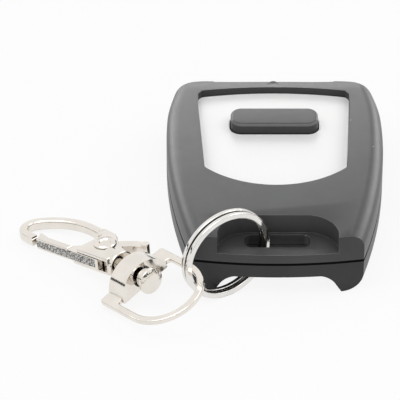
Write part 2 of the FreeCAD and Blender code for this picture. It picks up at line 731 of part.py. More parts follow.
def make_chip(name, x, y, half_x, half_y, height, leads):
    """A moulded chip with leads along both long sides."""
    body = new_body(name)
    pitch = f"(2*({half_x})-0.6)/{leads}"
    feet = [
        box_loop(f"({x})-({half_x})+0.3+({i}+0.5)*({pitch})", f"({y})+({side})*(({half_y})+0.35)",
                 "0.2", "0.5")
        for i in range(leads) for side in ("1", "-1")
    ]
    grow(body, new_sketch(body, name + "Body", level=f"{BOARD_TOP}+0.1",
                          loops=[box_loop(x, y, half_x, half_y)]), f"({height})-0.1")
    grow(body, new_sketch(body, name + "Leads", level=BOARD_TOP, loops=feet), "0.3")
    return body


def make_resonator():
    body = new_body("saw_resonator")
    place = ("-8", "0")
    grow(body, new_sketch(body, "ResonatorRim", level=BOARD_TOP, circles=[(*place, "3.1")]), "0.5")
    grow(body, new_sketch(body, "ResonatorCan", level=f"{BOARD_TOP}+0.5", circles=[(*place, "2.7")]), "1.4")
    top = number(f"{BOARD_TOP}+1.9")
    round_edges(body, "0.4", lambda e: abs(middle_of(e).z - top) < 1e-6, "ResonatorEdge")
    return body


def make_antenna():
    """The printed aerial: down one side of the board and half way along its far edge."""
    body = new_body("antenna_loop")
    outer = "(board_half-0.3)"
    inner = "(board_half-1.1)"
    corner = "board_corner-0.3"
    far = "board_far_y-0.3"
    loop = (
        (outer, "board_near_y+6", None),
        (outer, f"{far}-({corner})", corner),
        (f"{outer}-({corner})", far, None),
        ("led_radius+1", far, None),
        ("led_radius+1", f"{far}-0.8", None),
        (f"{outer}-({corner})", f"{far}-0.8", f"-({corner}-0.8)"),
        (inner, f"{far}-({corner})", None),
        (inner, "board_near_y+6", None),
    )
    grow(body, new_sketch(body, "Aerial", level=BOARD_TOP, loops=[loop]), "0.2")
    return body


def make_switch():
    body = new_body("tact_switch")
    half = "switch_half"
    feet = [box_loop(f"({i})*({half}+0.3)", f"button_y+({j})*2.2", "0.7", "0.4")
            for i in (-1, 1) for j in (-1, 1)]
    grow(body, new_sketch(body, "SwitchCase", level=f"{BOARD_TOP}+0.05",
                          loops=[rounded_box(f"-{half}", f"button_y-{half}", half,
                                             f"button_y+{half}", "0.4")]), "switch_height-0.05")
    grow(body, new_sketch(body, "SwitchFeet", level=BOARD_TOP, loops=feet), "0.3")
    cut(body, new_sketch(body, "PlungerBore", level=f"{BOARD_TOP}+switch_height",
                         circles=[("0", "button_y", "plunger_radius+fit_gap")]), "press_travel+0.7")
    return body


def make_plunger():
    body = new_body("switch_plunger")
    grow(body, new_sketch(body, "Plunger", level=f"{BOARD_TOP}+switch_height-0.6",
                          circles=[("0", "button_y", "plunger_radius")]), "plunger_height+0.6")
    top = number(f"{BOARD_TOP}+switch_height+plunger_height")
    round_edges(body, "0.3", lambda e: abs(middle_of(e).z - top) < 1e-6, "PlungerEdge")
    return body


def make_led():
    body = new_body("indicator_led")
    place = ("0", "led_y")
    grow(body, new_sketch(body, "LedBase", level=BOARD_TOP, circles=[(*place, "led_radius+0.35")]), "0.8")
    grow(body, new_sketch(body, "LedLens", level=BOARD_TOP, circles=[(*place, "led_radius")]),
         "slope_z-1.15-board_z-board_thick")
    top = number("slope_z-1.15")
    round_edges(body, "0.7", lambda e: abs(middle_of(e).z - top) < 1e-6, "LedDome")
    return body


def make_group(name, shapes):
    """One node made of several equal pieces."""
    group = doc.addObject("Part::Compound", name)
    group.Label = name
    group.Links = shapes
    doc.recompute()
    return group


def make_chip_parts():
    """Chip resistors and capacitors."""
    rows = [("-3.5", "21"), ("0", "21"), ("3.5", "21"), ("7", "13"), ("7", "10.5"),
            ("-7", "14"), ("-7", "11"), ("-7", "8")]
    pieces = []
    for x, y in rows:
        piece = doc.addObject("Part::Box", "ChipPart")
        for side, size in (("Length", 2.0), ("Width", 1.25), ("Height", 0.8)):
            setattr(piece, side, size)
        corner = Vector(number(x) - 1.0, number(y) - 0.6, 0)
        piece.Placement.Base = corner
        piece.setExpression("Placement.Base.z", words(BOARD_TOP))
        pieces.append(piece)
    return make_group("chip_parts", pieces)


def make_screws():
    pieces = []
    for x, y in BOSSES:
        shank = doc.addObject("Part::Cylinder", "Shank")
        shank.setExpression("Radius", words("screw_radius"))
        shank.setExpression("Height", words("screw_length+0.5"))
        shank.Placement.Base = Vector(number(x), number(y), number("wall-0.5"))
        head = doc.addObject("Part::Cylinder", "Head")
        head.setExpression("Radius", words("screw_head"))
        head.setExpression("Height", "1.1")
        head.Placement.Base = Vector(number(x), number(y), number("wall-1.1"))
        screw = doc.addObject("Part::Fuse", "Screw")
        screw.Base = head
        screw.Tool = shank
        cross = doc.addObject("Part::Box", "CrossA")
        cross.Length, cross.Width, cross.Height = 2.2, 0.5, 0.6
        cross.Placement.Base = Vector(number(x) - 1.1, number(y) - 0.25, number("wall-1.1"))
        other = doc.addObject("Part::Box", "CrossB")
        other.Length, other.Width, other.Height = 0.5, 2.2, 0.6
        other.Placement.Base = Vector(number(x) - 0.25, number(y) - 1.1, number("wall-1.1"))
        both = doc.addObject("Part::Fuse", "Cross")
        both.Base = cross
        both.Tool = other
        piece = doc.addObject("Part::Cut", "CaseScrew")
        piece.Base = screw
        piece.Tool = both
        pieces.append(piece)
    return make_group("case_screws", pieces)


# split ring

def ring_frame():
    """The ring's middle and its axes: along the ring plane, across it and up."""
    yaw = math.radians(number("ring_yaw"))
    along = Vector(math.cos(yaw), math.sin(yaw), 0)
    across = Vector(-math.sin(yaw), math.cos(yaw), 0)
    slot = Vector(number("ring_slot_x"), number("ring_slot_y"), 0)
    middle = slot - along * number("ring_radius")
    middle.z = number("ring_radius+ring_wire_radial/2+ring_floor")
    return middle, along, across


def wire_section(angle, shift):
    """The wire's rounded outline at an angle round the ring, moved along the ring axis."""
    radial = number("ring_wire_radial") / 2
    axial = number("ring_wire_axial") / 2
    mean = number("ring_radius")
    soft = 0.6 * axial
    turn = Rotation(Vector(0, 1, 0), -angle)

    def spot(r, a):
        return turn.multVec(Vector(mean + r, a + shift, 0))

    edges = []
    corner = soft * (1 - math.sqrt(0.5))
    ways = ((1, -1), (1, 1), (-1, 1), (-1, -1))
    for i, (right, up) in enumerate(ways):
        first, last = (radial, axial - soft), (radial - soft, axial)
        if right * up < 0:
            first, last = last, first
        start = spot(right * first[0], up * first[1])
        halfway = spot(right * (radial - corner), up * (axial - corner))
        end = spot(right * last[0], up * last[1])
        edges.append(Part.Arc(start, halfway, end).toShape())
        follower = ways[(i + 1) % 4]
        leave = (radial, axial - soft) if follower[0] * follower[1] > 0 else (radial - soft, axial)
        edges.append(Part.makeLine(end, spot(follower[0] * leave[0], follower[1] * leave[1])))
    return Part.Wire(edges)


def least_gap(first, second):
    """The least distance between points on the skins of two stretches of one wire."""
    near = second.tessellate(0.05)[0]
    return min(spot.distanceToPoint(other) for spot in first.tessellate(0.05)[0] for other in near)


def make_key_ring():
    """Two turns of one wire, joined by a short step from turn to turn."""
    middle, along, across = ring_frame()
    pitch = number("ring_wire_axial+ring_turn_gap")
    step = number("ring_step")
    start = number("ring_step_at") + step - 360
    trim = 5.0
    sweep = 360 - step - trim
    turns = []
    for side, first in ((1, start + trim), (-1, start)):
        face = Part.Face(wire_section(first, side * pitch / 2))
        turns.append(face.revolve(Vector(0, 0, 0), Vector(0, -1, 0), sweep))
    count = 9
    sections = []
    for i in range(count):
        part = i / (count - 1)
        ease = part * part * (3 - 2 * part)
        sections.append(wire_section(start - step + part * step, pitch / 2 - pitch * ease))
    joint = Part.makeLoft(sections, True, False)
    print(f"key_ring: least gap between its turns {least_gap(*turns):.2f} mm")
    solid = turns[0].fuse([joint, turns[1]])
    ring = doc.addObject("Part::Feature", "key_ring")
    ring.Label = "key_ring"
    ring.Shape = solid
    ring.Placement = Placement(middle, Rotation(along, across, Vector(0, 0, 1), "XYZ"))
    return ring


# swivel loop and snap hook, drawn along (a), across (c) and square to (u) the swivel axis

def swivel_axes(roll=0.0):
    azimuth = math.radians(number("loop_azimuth"))
    rise = math.radians(number("loop_rise"))
    level = Vector(math.cos(azimuth), math.sin(azimuth), 0)
    axis = level * math.cos(rise) + Vector(0, 0, math.sin(rise))
    side = Vector(-math.sin(azimuth), math.cos(azimuth), 0)
    up = axis.cross(side)
    turned = side * math.cos(roll) + up * math.sin(roll)
    return axis, turned, axis.cross(turned)


def swivel_place(roll=0.0):
    """The placement of a part drawn about the swivel axis, from where the ring holds the loop."""
    middle, along, _ = ring_frame()
    drop = math.radians(number("ring_at_angle"))
    reach = number("ring_radius")
    held = middle - along * reach * math.cos(drop) - Vector(0, 0, reach * math.sin(drop))
    axis, side, up = swivel_axes(math.radians(number("loop_roll")))
    base = held - axis * number("ring_at_a") - side * number("ring_at_c") + up * number("loop_drop")
    return Placement(base, Rotation(*swivel_axes(roll), "XYZ"))


def make_swivel_loop():
    body = new_body("swivel_loop")
    outer = "loop_half"
    inner = "(loop_half-loop_strap)"
    outline = (
        ("-bar_half", f"-{outer}+0.7", "0.7"),
        ("-bar_half+0.7", f"-{outer}", None),
        ("loop_straight", f"-{outer}", outer),
        (f"loop_straight+{outer}", "0", outer),
        ("loop_straight", outer, None),
        ("-bar_half+0.7", outer, "0.7"),
        ("-bar_half", f"{outer}-0.7", None),
    )
    window = (
        ("bar_half-0.5", f"-{inner}+0.8", "0.8"),
        ("bar_half+0.3", f"-{inner}", None),
        ("loop_straight", f"-{inner}", inner),
        (f"loop_straight+{inner}", "0", inner),
        ("loop_straight", inner, None),
        ("bar_half+0.3", inner, "0.8"),
        ("bar_half-0.5", f"{inner}-0.8", None),
    )
    strap = new_sketch(body, "LoopStrap", level="-loop_drop", loops=[outline, window])
    grow(body, strap, "loop_thick", middle=True)
    levels = [number(f"-loop_drop+({s})*loop_thick/2") for s in (-1, 1)]
    round_edges(body, "loop_round", lambda e: min(abs(middle_of(e).z - v) for v in levels) < 1e-6,
                "StrapEdges")
    foot = "-loop_drop-loop_thick/2"
    spring_line = "-loop_drop+loop_thick/2"
    hood = (
        ("-hood_half", foot, None),
        ("hood_half", foot, None),
        ("hood_half", spring_line, "hood_arch"),
        ("-hood_half", spring_line, None),
    )
    grow(body, new_sketch(body, "Boss", role="YZ_Plane", level="-bar_half", loops=[hood]), "2*bar_half")
    under = new_sketch(body, "BossUnder", role="YZ_Plane", level="-bar_half",
                       circles=[("0", "0", "boss_sink+0.4")])
    grow(body, under, "2*bar_half")
    cut(body, new_sketch(body, "BossBore", role="YZ_Plane", level="bar_half+0.1",
                         circles=[("0", "0", "boss_bore")]), "2*bar_half+0.2")
    cut(body, new_sketch(body, "BossSink", role="YZ_Plane", level="bar_half+0.1",
                         circles=[("0", "0", "boss_sink")]), "boss_sink_depth+0.1")
    body.Placement = swivel_place(math.radians(number("loop_roll")))
    return body


def make_swivel_post():
    """The post with its flange, collar and head, turned about the swivel axis."""
    body = new_body("swivel_post")
    loop = (
        ("post_end", "0", None),
        ("head_end+0.15", "0", None),
        ("head_end", "head_r-0.9", None),
        ("head_end-0.3", "head_r", None),
        ("head_start", "head_r", None),
        ("head_start", "collar_r", None),
        ("collar_start", "collar_r", None),
        ("collar_start", "post_r", None),
        ("flange_end", "post_r", None),
        ("flange_end", "flange_r-0.2", None),
        ("flange_end-0.2", "flange_r", None),
        ("flange_start", "flange_r", None),
        ("flange_start", "post_r", None),
        ("post_end", "post_r", None),
    )
    sketch = new_sketch(body, "PostHalf", loops=[loop])
    turned = body.newObject("PartDesign::Revolution", "PostTurned")
    turned.Profile = sketch
    turned.ReferenceAxis = (sketch, ["H_Axis"])
    turned.Angle = 360.0
    doc.recompute()
    body.Placement = swivel_place()
    return body


CLAW_TURN = "(claw_arm_c-claw_sweep)"


def claw_point(radius):
    """Where the claw sweep meets its end bend, at a radius about the sweep's middle."""
    return (f"claw_arm_end-({radius})*sin(claw_sweep_angle)",
            f"{CLAW_TURN}+({radius})*cos(claw_sweep_angle)")


def claw_loop():
    half = "claw_width/2"
    bend_x, bend_y = claw_point("claw_sweep-claw_bend")
    outer_x, outer_y = claw_point(f"claw_sweep+{half}")
    inner_x, inner_y = claw_point(f"claw_sweep-{half}")
    root = "mouth_a+3"
    return (
        (root, f"claw_arm_c+{half}", None),
        ("claw_arm_end", f"claw_arm_c+{half}", f"claw_sweep+{half}"),
        (outer_x, outer_y, f"claw_bend+{half}"),
        (bend_x, f"{bend_y}-claw_bend-{half}", None),
        ("claw_tip", f"{bend_y}-claw_bend-{half}", None),
        ("claw_tip", f"{bend_y}-claw_bend+{half}", None),
        (bend_x, f"{bend_y}-claw_bend+{half}", f"-(claw_bend-{half})"),
        (inner_x, inner_y, f"-(claw_sweep-{half})"),
        ("claw_arm_end", f"claw_arm_c-{half}", None),
        (root, f"claw_arm_c-{half}", None),
    )


def near_line(along, inset="0"):
    """A point on the near face of the gate, or behind it, at a place along the axis."""
    slope = "(gate_end_c-gate_root_c)/(gate_end-mouth_a)"
    return (along, f"gate_root_c-gate_width/2+({along}-mouth_a)*{slope}+{inset}")


def hook_loop():
    """The hook body between the barrel flange and the mouth."""
    inner = "claw_arm_c-claw_width/2"
    outer = "claw_arm_c+claw_width/2"
    corner_x, corner_y = near_line("mouth_a+1", "body_inset")
    return (
        near_line("body_end", "body_inset") + (None,),
        (corner_x, corner_y, "-1"),
        ("mouth_a", f"{corner_y}+1", None),
        ("mouth_a", f"{inner}-0.9", "0.9"),
        ("mouth_a-0.9", inner, None),
        ("mouth_a-0.9", outer, None),
        ("mouth_a+2.5", outer, None),
        ("barrel_start-1", "barrel_r+0.8", None),
        ("body_end", "barrel_r", None),
    )


def make_hook_body():
    body = new_body("hook_body")
    grow(body, new_sketch(body, "Claw", loops=[claw_loop()]), "claw_thick", middle=True)
    faces = number("claw_thick/2")
    root = number("mouth_a+3")
    round_edges(body, "claw_round", lambda e: abs(abs(middle_of(e).z) - faces) < 1e-6
                and middle_of(e).x < root - 0.01, "ClawEdges")
    grow(body, new_sketch(body, "HookBody", loops=[hook_loop()]), "body_thick", middle=True)
    thick = number("body_thick/2")
    round_edges(body, "body_round", lambda e: abs(abs(middle_of(e).z) - thick) < 1e-6, "BodyEdges")
    barrel = new_sketch(body, "Barrel", role="YZ_Plane", level="barrel_start-0.4",
                        circles=[("0", "0", "barrel_r")])
    grow(body, barrel, "flange_start-barrel_start+0.4")
    near = "gate_root_c-gate_width/2-2"
    channel = (
        ("body_end-0.3", near, None),
        ("body_end-0.3", "-post_r-0.45", None),
        ("barrel_start+0.1", "-post_r-0.45", None),
        ("barrel_start+0.1", "8", None),
        ("pivot_a-2.1", "8", None),
        ("pivot_a-2.1", "pivot_c+2.1", None),
        ("pivot_a-3", "pivot_c+1.1", None),
        ("mouth_a-1.2", "pivot_c+1.1", None),
        ("mouth_a-1.2", near, None),
    )
    cut(body, new_sketch(body, "GateChannel", loops=[channel]), "channel_thick", middle=True)
    cheek = rounded_box("mouth_a-0.8", near, "mouth_a+cheek_back",
                        "claw_arm_c-claw_width/2-1", "0.6")
    cut(body, new_sketch(body, "UpperCheek", level="channel_thick/2-0.1", loops=[cheek]),
        "body_thick/2", up=True)
    cut(body, new_sketch(body, "PivotHole", circles=[("pivot_a", "pivot_c", "pivot_r+0.02")]),
        "body_thick+1", middle=True)
    cut(body, new_sketch(body, "PostBore", role="YZ_Plane", level="flange_start+0.1",
                         circles=[("0", "0", "post_r+0.02")]), "flange_start-post_end+0.3")
    body.Placement = swivel_place()
    return body


def gate_edge(share, side):
    """A point on the long sides of the gate blade, from its root (0) to its end (1)."""
    root = "(mouth_a-0.2)"
    return (f"{root}+({share})*(gate_end-{root})",
            f"gate_root_c+({share})*(gate_end_c-gate_root_c)+({side})*gate_width/2")


def make_hook_gate():
    body = new_body("hook_gate")
    blade = (
        gate_edge("0.03", "-1") + (None,),
        ("gate_end+0.5", "gate_end_c-gate_width/2", None),
        ("gate_end", "gate_end_c+gate_width/2", None),
        gate_edge("0.03", "1") + (None,),
    )
    grow(body, new_sketch(body, "GateBlade", loops=[blade]), "gate_blade_thick", middle=True)
    faces = number("gate_blade_thick/2")
    round_edges(body, "0.4", lambda e: abs(abs(middle_of(e).z) - faces) < 1e-6, "BladeEdges")
    hub = new_sketch(body, "GateHub", circles=[("pivot_a", "pivot_c", "gate_hub_r")])
    grow(body, hub, "gate_hub_thick", middle=True)
    skirt = (
        gate_edge("0.08", "-0.9") + (None,),
        near_line("skirt_end") + (None,),
        near_line("skirt_end", "skirt_wall") + (None,),
        ("pivot_a+1.2", "pivot_c-1.9", None),
        ("pivot_a", "pivot_c", None),
        ("pivot_a-gate_hub_r+0.1", "pivot_c-0.4", None),
        gate_edge("0.08", "0.9") + (None,),
    )
    grow(body, new_sketch(body, "GateSkirt", loops=[skirt]), "gate_hub_thick", middle=True)
    top = "gate_end_c+gate_width/2"
    tongue = (
        ("gate_end+1.6", f"{top}-0.2", None),
        ("gate_end-0.9", f"{top}+0.4", None),
        ("gate_end-0.9", f"{top}+0.95", None),
        ("gate_end+1.6", f"{top}+0.7", None),
    )
    grow(body, new_sketch(body, "GateTongue", loops=[tongue]), "gate_hub_thick-0.5", middle=True)
    lever = (
        ("pivot_a-1.8", "pivot_c+1.4", None),
        ("pivot_a+1.3", "pivot_c+1.4", None),
        ("pivot_a+3.1", "pivot_c+3.6", None),
        ("pivot_a+6", "pivot_c+5.4", "1.1"),
        ("pivot_a+5.2", "pivot_c+7", None),
        ("pivot_a+2.7", "pivot_c+6", None),
        ("pivot_a+0.3", "pivot_c+3.9", None),
    )
    grow(body, new_sketch(body, "GateLever", loops=[lever]), "gate_hub_thick", middle=True)
    thumb = new_sketch(body, "GateThumb", circles=[("pivot_a+5.2", "pivot_c+6.1", "0.9")])
    grow(body, thumb, "gate_hub_thick+0.6", middle=True)
    grooves = []
    pitch = number("grip_pitch")
    reach = number("skirt_end-gate_end")
    for i in range(int((reach - 1.6) / pitch)):
        at_x, at_y = near_line(f"(skirt_end-0.8-({i}+0.5)*grip_pitch)")
        wide = "0.28*grip_pitch"
        grooves.append((
            (f"{at_x}-{wide}", f"{at_y}-0.2", None),
            (f"{at_x}+{wide}", f"{at_y}-0.2", None),
            (f"{at_x}+{wide}*0.6", f"{at_y}+grip_depth", None),
            (f"{at_x}-{wide}*0.6", f"{at_y}+grip_depth", None),
        ))
    cut(body, new_sketch(body, "GateGrip", loops=grooves), "gate_hub_thick-0.7", middle=True)
    cut(body, new_sketch(body, "SpringRoom", level="gate_hub_thick/2+0.1",
                         circles=[("pivot_a", "pivot_c", "spring_r+spring_wire/2+0.25")]),
        "gate_hub_thick*0.65+0.1")
    cut(body, new_sketch(body, "GateBore", circles=[("pivot_a", "pivot_c", "pivot_r+0.05")]),
        "gate_hub_thick+1", middle=True)
    body.Placement = swivel_place()
    return body


def make_gate_rivet():
    body = new_body("gate_rivet")
    face = "body_thick/2"
    top = f"({face}+rivet_head_t)"
    loop = (
        ("0", f"-{top}", None),
        ("rivet_head_r-0.35", f"-{top}", None),
        ("rivet_head_r", f"-{top}+0.3", None),
        ("rivet_head_r", f"-{face}", None),
        ("pivot_r", f"-{face}", None),
        ("pivot_r", face, None),
        ("rivet_head_r", face, None),
        ("rivet_head_r", f"{top}-0.3", None),
        ("rivet_head_r-0.35", top, None),
        ("rivet_dimple+0.3", top, None),
        ("rivet_dimple", f"{top}-0.3", None),
        ("0", f"{top}-0.3", None),
    )
    sketch = new_sketch(body, "RivetHalf", role="XZ_Plane", loops=[loop])
    turned = body.newObject("PartDesign::Revolution", "RivetTurned")
    turned.Profile = sketch
    turned.ReferenceAxis = (sketch, ["V_Axis"])
    turned.Angle = 360.0
    doc.recompute()
    offset = Placement(Vector(number("pivot_a"), number("pivot_c"), 0), Rotation())
    body.Placement = swivel_place().multiply(offset)
    return body


def make_gate_spring():
    """The wound spring round the gate rivet, as the plain sleeve that its turns fill."""
    body = new_body("gate_spring")
    turns = new_sketch(body, "SpringTurns", level="gate_hub_thick/2-gate_hub_thick*0.65+0.05",
                       circles=[("0", "0", "spring_r+spring_wire/2"),
                                ("0", "0", "spring_r-spring_wire/2")])
    grow(body, turns, "spring_pitch*spring_turns+spring_wire")
    offset = Placement(Vector(number("pivot_a"), number("pivot_c"), 0), Rotation())
    body.Placement = swivel_place().multiply(offset)
    return body


top_shell = make_top_shell()
bottom_shell = make_bottom_shell()
face_plate = make_face_plate()
button_cap = make_button_cap()
circuit_board = make_circuit_board()
coin_cell = make_coin_cell()
cell_contact = make_cell_contact()
cell_clip = make_cell_clip()
tact_switch = make_switch()
switch_plunger = make_plunger()
transmitter_chip = make_chip("transmitter_chip", "6.5", "1.5", "2.5", "2", "1.5", 4)
encoder_chip = make_chip("encoder_chip", "0", "-8", "5", "2.6", "1.6", 8)
saw_resonator = make_resonator()
antenna_loop = make_antenna()
chip_parts = make_chip_parts()
indicator_led = make_led()
case_screws = make_screws()
key_ring = make_key_ring()
swivel_loop = make_swivel_loop()
swivel_post = make_swivel_post()
hook_body = make_hook_body()
hook_gate = make_hook_gate()
gate_rivet = make_gate_rivet()
gate_spring = make_gate_spring()

NODES = [
    bottom_shell, top_shell, face_plate, circuit_board, coin_cell, cell_clip, cell_contact,
    tact_switch, transmitter_chip, encoder_chip, saw_resonator, antenna_loop, chip_parts,
    indicator_led, case_screws, button_cap, switch_plunger, key_ring, swivel_loop,
    hook_body, swivel_post, gate_rivet, gate_spring, hook_gate,
]

doc.recompute()
for item in doc.Objects:
    if {"Invalid", "Error"} & set(item.State):
        raise ValueError(f"{item.Name} failed: {item.State}")
for node in NODES:
    if node.Shape.isNull() or not node.Shape.isValid():
        raise ValueError(f"{node.Label} has no valid shape")

os.makedirs("parts", exist_ok=True)
for node in NODES:
    node.Shape.exportStep(f"parts/{node.Label}.step")
    box = node.Shape.BoundBox
    print(f"{node.Label}: {len(node.Shape.Solids)} solid, {box.XLength:.1f} x {box.YLength:.1f} x {box.ZLength:.1f}")
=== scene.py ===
import logging
import math
from dataclasses import dataclass, field
from enum import Enum
from typing import Callable, Protocol, Sequence

import bpy
from mathutils import Matrix, Vector


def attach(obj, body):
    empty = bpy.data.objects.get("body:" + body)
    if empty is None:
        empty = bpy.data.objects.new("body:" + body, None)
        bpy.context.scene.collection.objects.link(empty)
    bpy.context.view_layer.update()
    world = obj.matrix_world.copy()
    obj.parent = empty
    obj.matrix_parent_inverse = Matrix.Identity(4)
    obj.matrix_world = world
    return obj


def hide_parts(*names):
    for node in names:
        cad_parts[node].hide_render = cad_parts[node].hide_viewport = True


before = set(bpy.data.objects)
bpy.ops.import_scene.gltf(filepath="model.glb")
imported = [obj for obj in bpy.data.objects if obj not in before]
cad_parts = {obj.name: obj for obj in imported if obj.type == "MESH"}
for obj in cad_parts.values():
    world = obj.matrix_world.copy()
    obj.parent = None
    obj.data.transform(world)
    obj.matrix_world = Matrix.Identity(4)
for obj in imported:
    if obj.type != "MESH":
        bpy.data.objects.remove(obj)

MM = 0.001
HAIR = 0.01 * MM  # slack when two places are compared
WELD = 0.001 * MM  # points of a CAD mesh that are nearer than this are one point
FLAT_ANGLE = 0.4  # degrees between two faces that count as one flat face
Pair = tuple[float, float]  # most often the two ends of a range
Triple = tuple[float, float, float]
FaceRule = Callable[[bpy.types.MeshPolygon], bool]
PointRule = Callable[[Vector], bool]
BLACK: Triple = (0.0, 0.0, 0.0)
WHITE: Triple = (1.0, 1.0, 1.0)
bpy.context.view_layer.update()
log = logging.getLogger("fob")


class Body(Enum):
    """The bodies of the fob that dressed pieces move with."""

    CASE = "case"
    BUTTON = "button"
    RING = "ring"
    LOOP = "loop"
    HOOK = "hook"
    GATE = "gate"


class Slot(Enum):
    """The record's material slots, named in the plans for the dressed pieces but not given to them.
    """

    SHELL_UPPER = "shell_upper"
    SHELL_LOWER = "shell_lower"
    FACE_PLATE = "face_plate"
    BUTTON = "button"
    LED_LENS = "led_lens"
    RING_STEEL = "ring_steel"
    HOOK_METAL = "hook_metal"


# small helpers

def deselect_all() -> None:
    """Leaves nothing selected and no object in edit mode."""
    if bpy.context.object and bpy.context.object.mode != "OBJECT":
        bpy.ops.object.mode_set(mode="OBJECT")
    bpy.ops.object.select_all(action="DESELECT")


def activate(piece: bpy.types.Object) -> None:
    """Makes one piece the only selected and active object.

    Args:
        piece: The object that the next operators act on.
    """
    deselect_all()
    piece.select_set(True)
    bpy.context.view_layer.objects.active = piece


def apply_modifier(piece: bpy.types.Object, modifier: bpy.types.Modifier) -> None:
    """Applies one modifier of a piece.

    Args:
        piece: The object that carries the modifier.
        modifier: The modifier to apply.
    """
    activate(piece)
    bpy.ops.object.modifier_apply(modifier=modifier.name)


def shade(piece: bpy.types.Object, angle: float) -> None:
    """Shades a piece smooth, with its sharper edges left crisp.

    Args:
        piece: The object to shade.
        angle: Edges above this many degrees stay crisp.
    """
    activate(piece)
    bpy.ops.object.shade_smooth_by_angle(angle=math.radians(angle))


def soften(piece: bpy.types.Object, width: float, segments: int = 3, angle: float = 38.0) -> None:
    """Rounds every edge of a piece that is sharper than an angle, and keeps its faces even.

    Args:
        piece: The object to soften.
        width: Width of the rounding in metres.
        segments: Faces across the rounding.
        angle: Edges flatter than this many degrees stay as they are.
    """
    shade(piece, angle)
    bevel = piece.modifiers.new("Soft_edges", "BEVEL")
    bevel.width = width
    bevel.segments = segments
    bevel.limit_method = "ANGLE"
    bevel.angle_limit = math.radians(angle)
    bevel.use_clamp_overlap = True
    bevel.harden_normals = True
    apply_modifier(piece, bevel)


def copy_node(node: str, name: str) -> bpy.types.Object:
    """Makes a welded copy of a CAD node, with its flat faces joined, to be dressed further.

    Args:
        node: Name of the CAD node.
        name: Name of the new piece.

    Returns:
        The new piece.
    """
    piece = bpy.data.objects.new(name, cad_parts[node].data.copy())
    bpy.context.scene.collection.objects.link(piece)
    piece.data.materials.clear()
    activate(piece)
    bpy.ops.mesh.customdata_custom_splitnormals_clear()
    bpy.ops.object.mode_set(mode="EDIT")
    bpy.ops.mesh.select_all(action="SELECT")
    bpy.ops.mesh.remove_doubles(threshold=WELD)
    bpy.ops.mesh.dissolve_limited(angle_limit=math.radians(FLAT_ANGLE))
    bpy.ops.object.mode_set(mode="OBJECT")
    return piece


def edit_nothing(piece: bpy.types.Object, kind: str) -> None:
    """Opens a piece in edit mode with nothing selected.

    Args:
        piece: The object to edit.
        kind: What is selected from here on: VERT, EDGE or FACE.
    """
    activate(piece)
    bpy.ops.object.mode_set(mode="EDIT")
    bpy.ops.mesh.select_mode(type=kind)
    bpy.ops.mesh.select_all(action="DESELECT")


def choose_faces(piece: bpy.types.Object, wanted: FaceRule) -> None:
    """Selects the faces of a piece that fit a rule, and leaves the piece in edit mode.

    Args:
        piece: The object to select on.
        wanted: Says of a face whether it is wanted.
    """
    edit_nothing(piece, "FACE")
    bpy.ops.object.mode_set(mode="OBJECT")
    for face in piece.data.polygons:
        face.select = wanted(face)
    bpy.ops.object.mode_set(mode="EDIT")


def choose_points(piece: bpy.types.Object, wanted: PointRule) -> None:
    """Selects the corner points of a piece that fit a rule, and leaves the piece in edit mode.

    Args:
        piece: The object to select on.
        wanted: Says of a place whether its point is wanted.
    """
    edit_nothing(piece, "VERT")
    bpy.ops.object.mode_set(mode="OBJECT")
    for corner in piece.data.vertices:
        corner.select = wanted(corner.co)
    bpy.ops.object.mode_set(mode="EDIT")


def finish_faces(piece: bpy.types.Object, material: bpy.types.Material, wanted: FaceRule) -> None:
    """Gives some faces of a dressed piece one more finish.

    Args:
        piece: The piece, which has its main finish.
        material: The further finish.
        wanted: Says of a face whether it gets it.
    """
    piece.data.materials.append(material)
    choose_faces(piece, wanted)
    piece.active_material_index = len(piece.data.materials) - 1
    bpy.ops.object.material_slot_assign()
    bpy.ops.object.mode_set(mode="OBJECT")


def place_piece(piece: bpy.types.Object, material: bpy.types.Material, body: Body,
                nodes: Sequence[str] = ()) -> None:
    """Gives a piece its main finish and its body, and hides the CAD nodes that it stands for.

    Args:
        piece: The piece, in its last shape.
        material: Its main finish, for a piece that has none yet.
        body: The body that it moves with.
        nodes: CAD nodes that the piece replaces.
    """
    if not piece.data.materials:
        piece.data.materials.append(material)
    if nodes:
        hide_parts(*nodes)
    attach(piece, body.value)
    log.info("%s: %d faces", piece.name, len(piece.data.polygons))


# finishes

class Finish(Protocol):
    """Anything that can build a material."""

    def build(self) -> bpy.types.Material:
        """Builds the material."""


def toned(colour: Triple, share: float) -> Triple:
    """Gives a colour that is darker or lighter by a share, and at most white."""
    red, green, blue = (min(share * part, 1.0) for part in colour)
    return red, green, blue


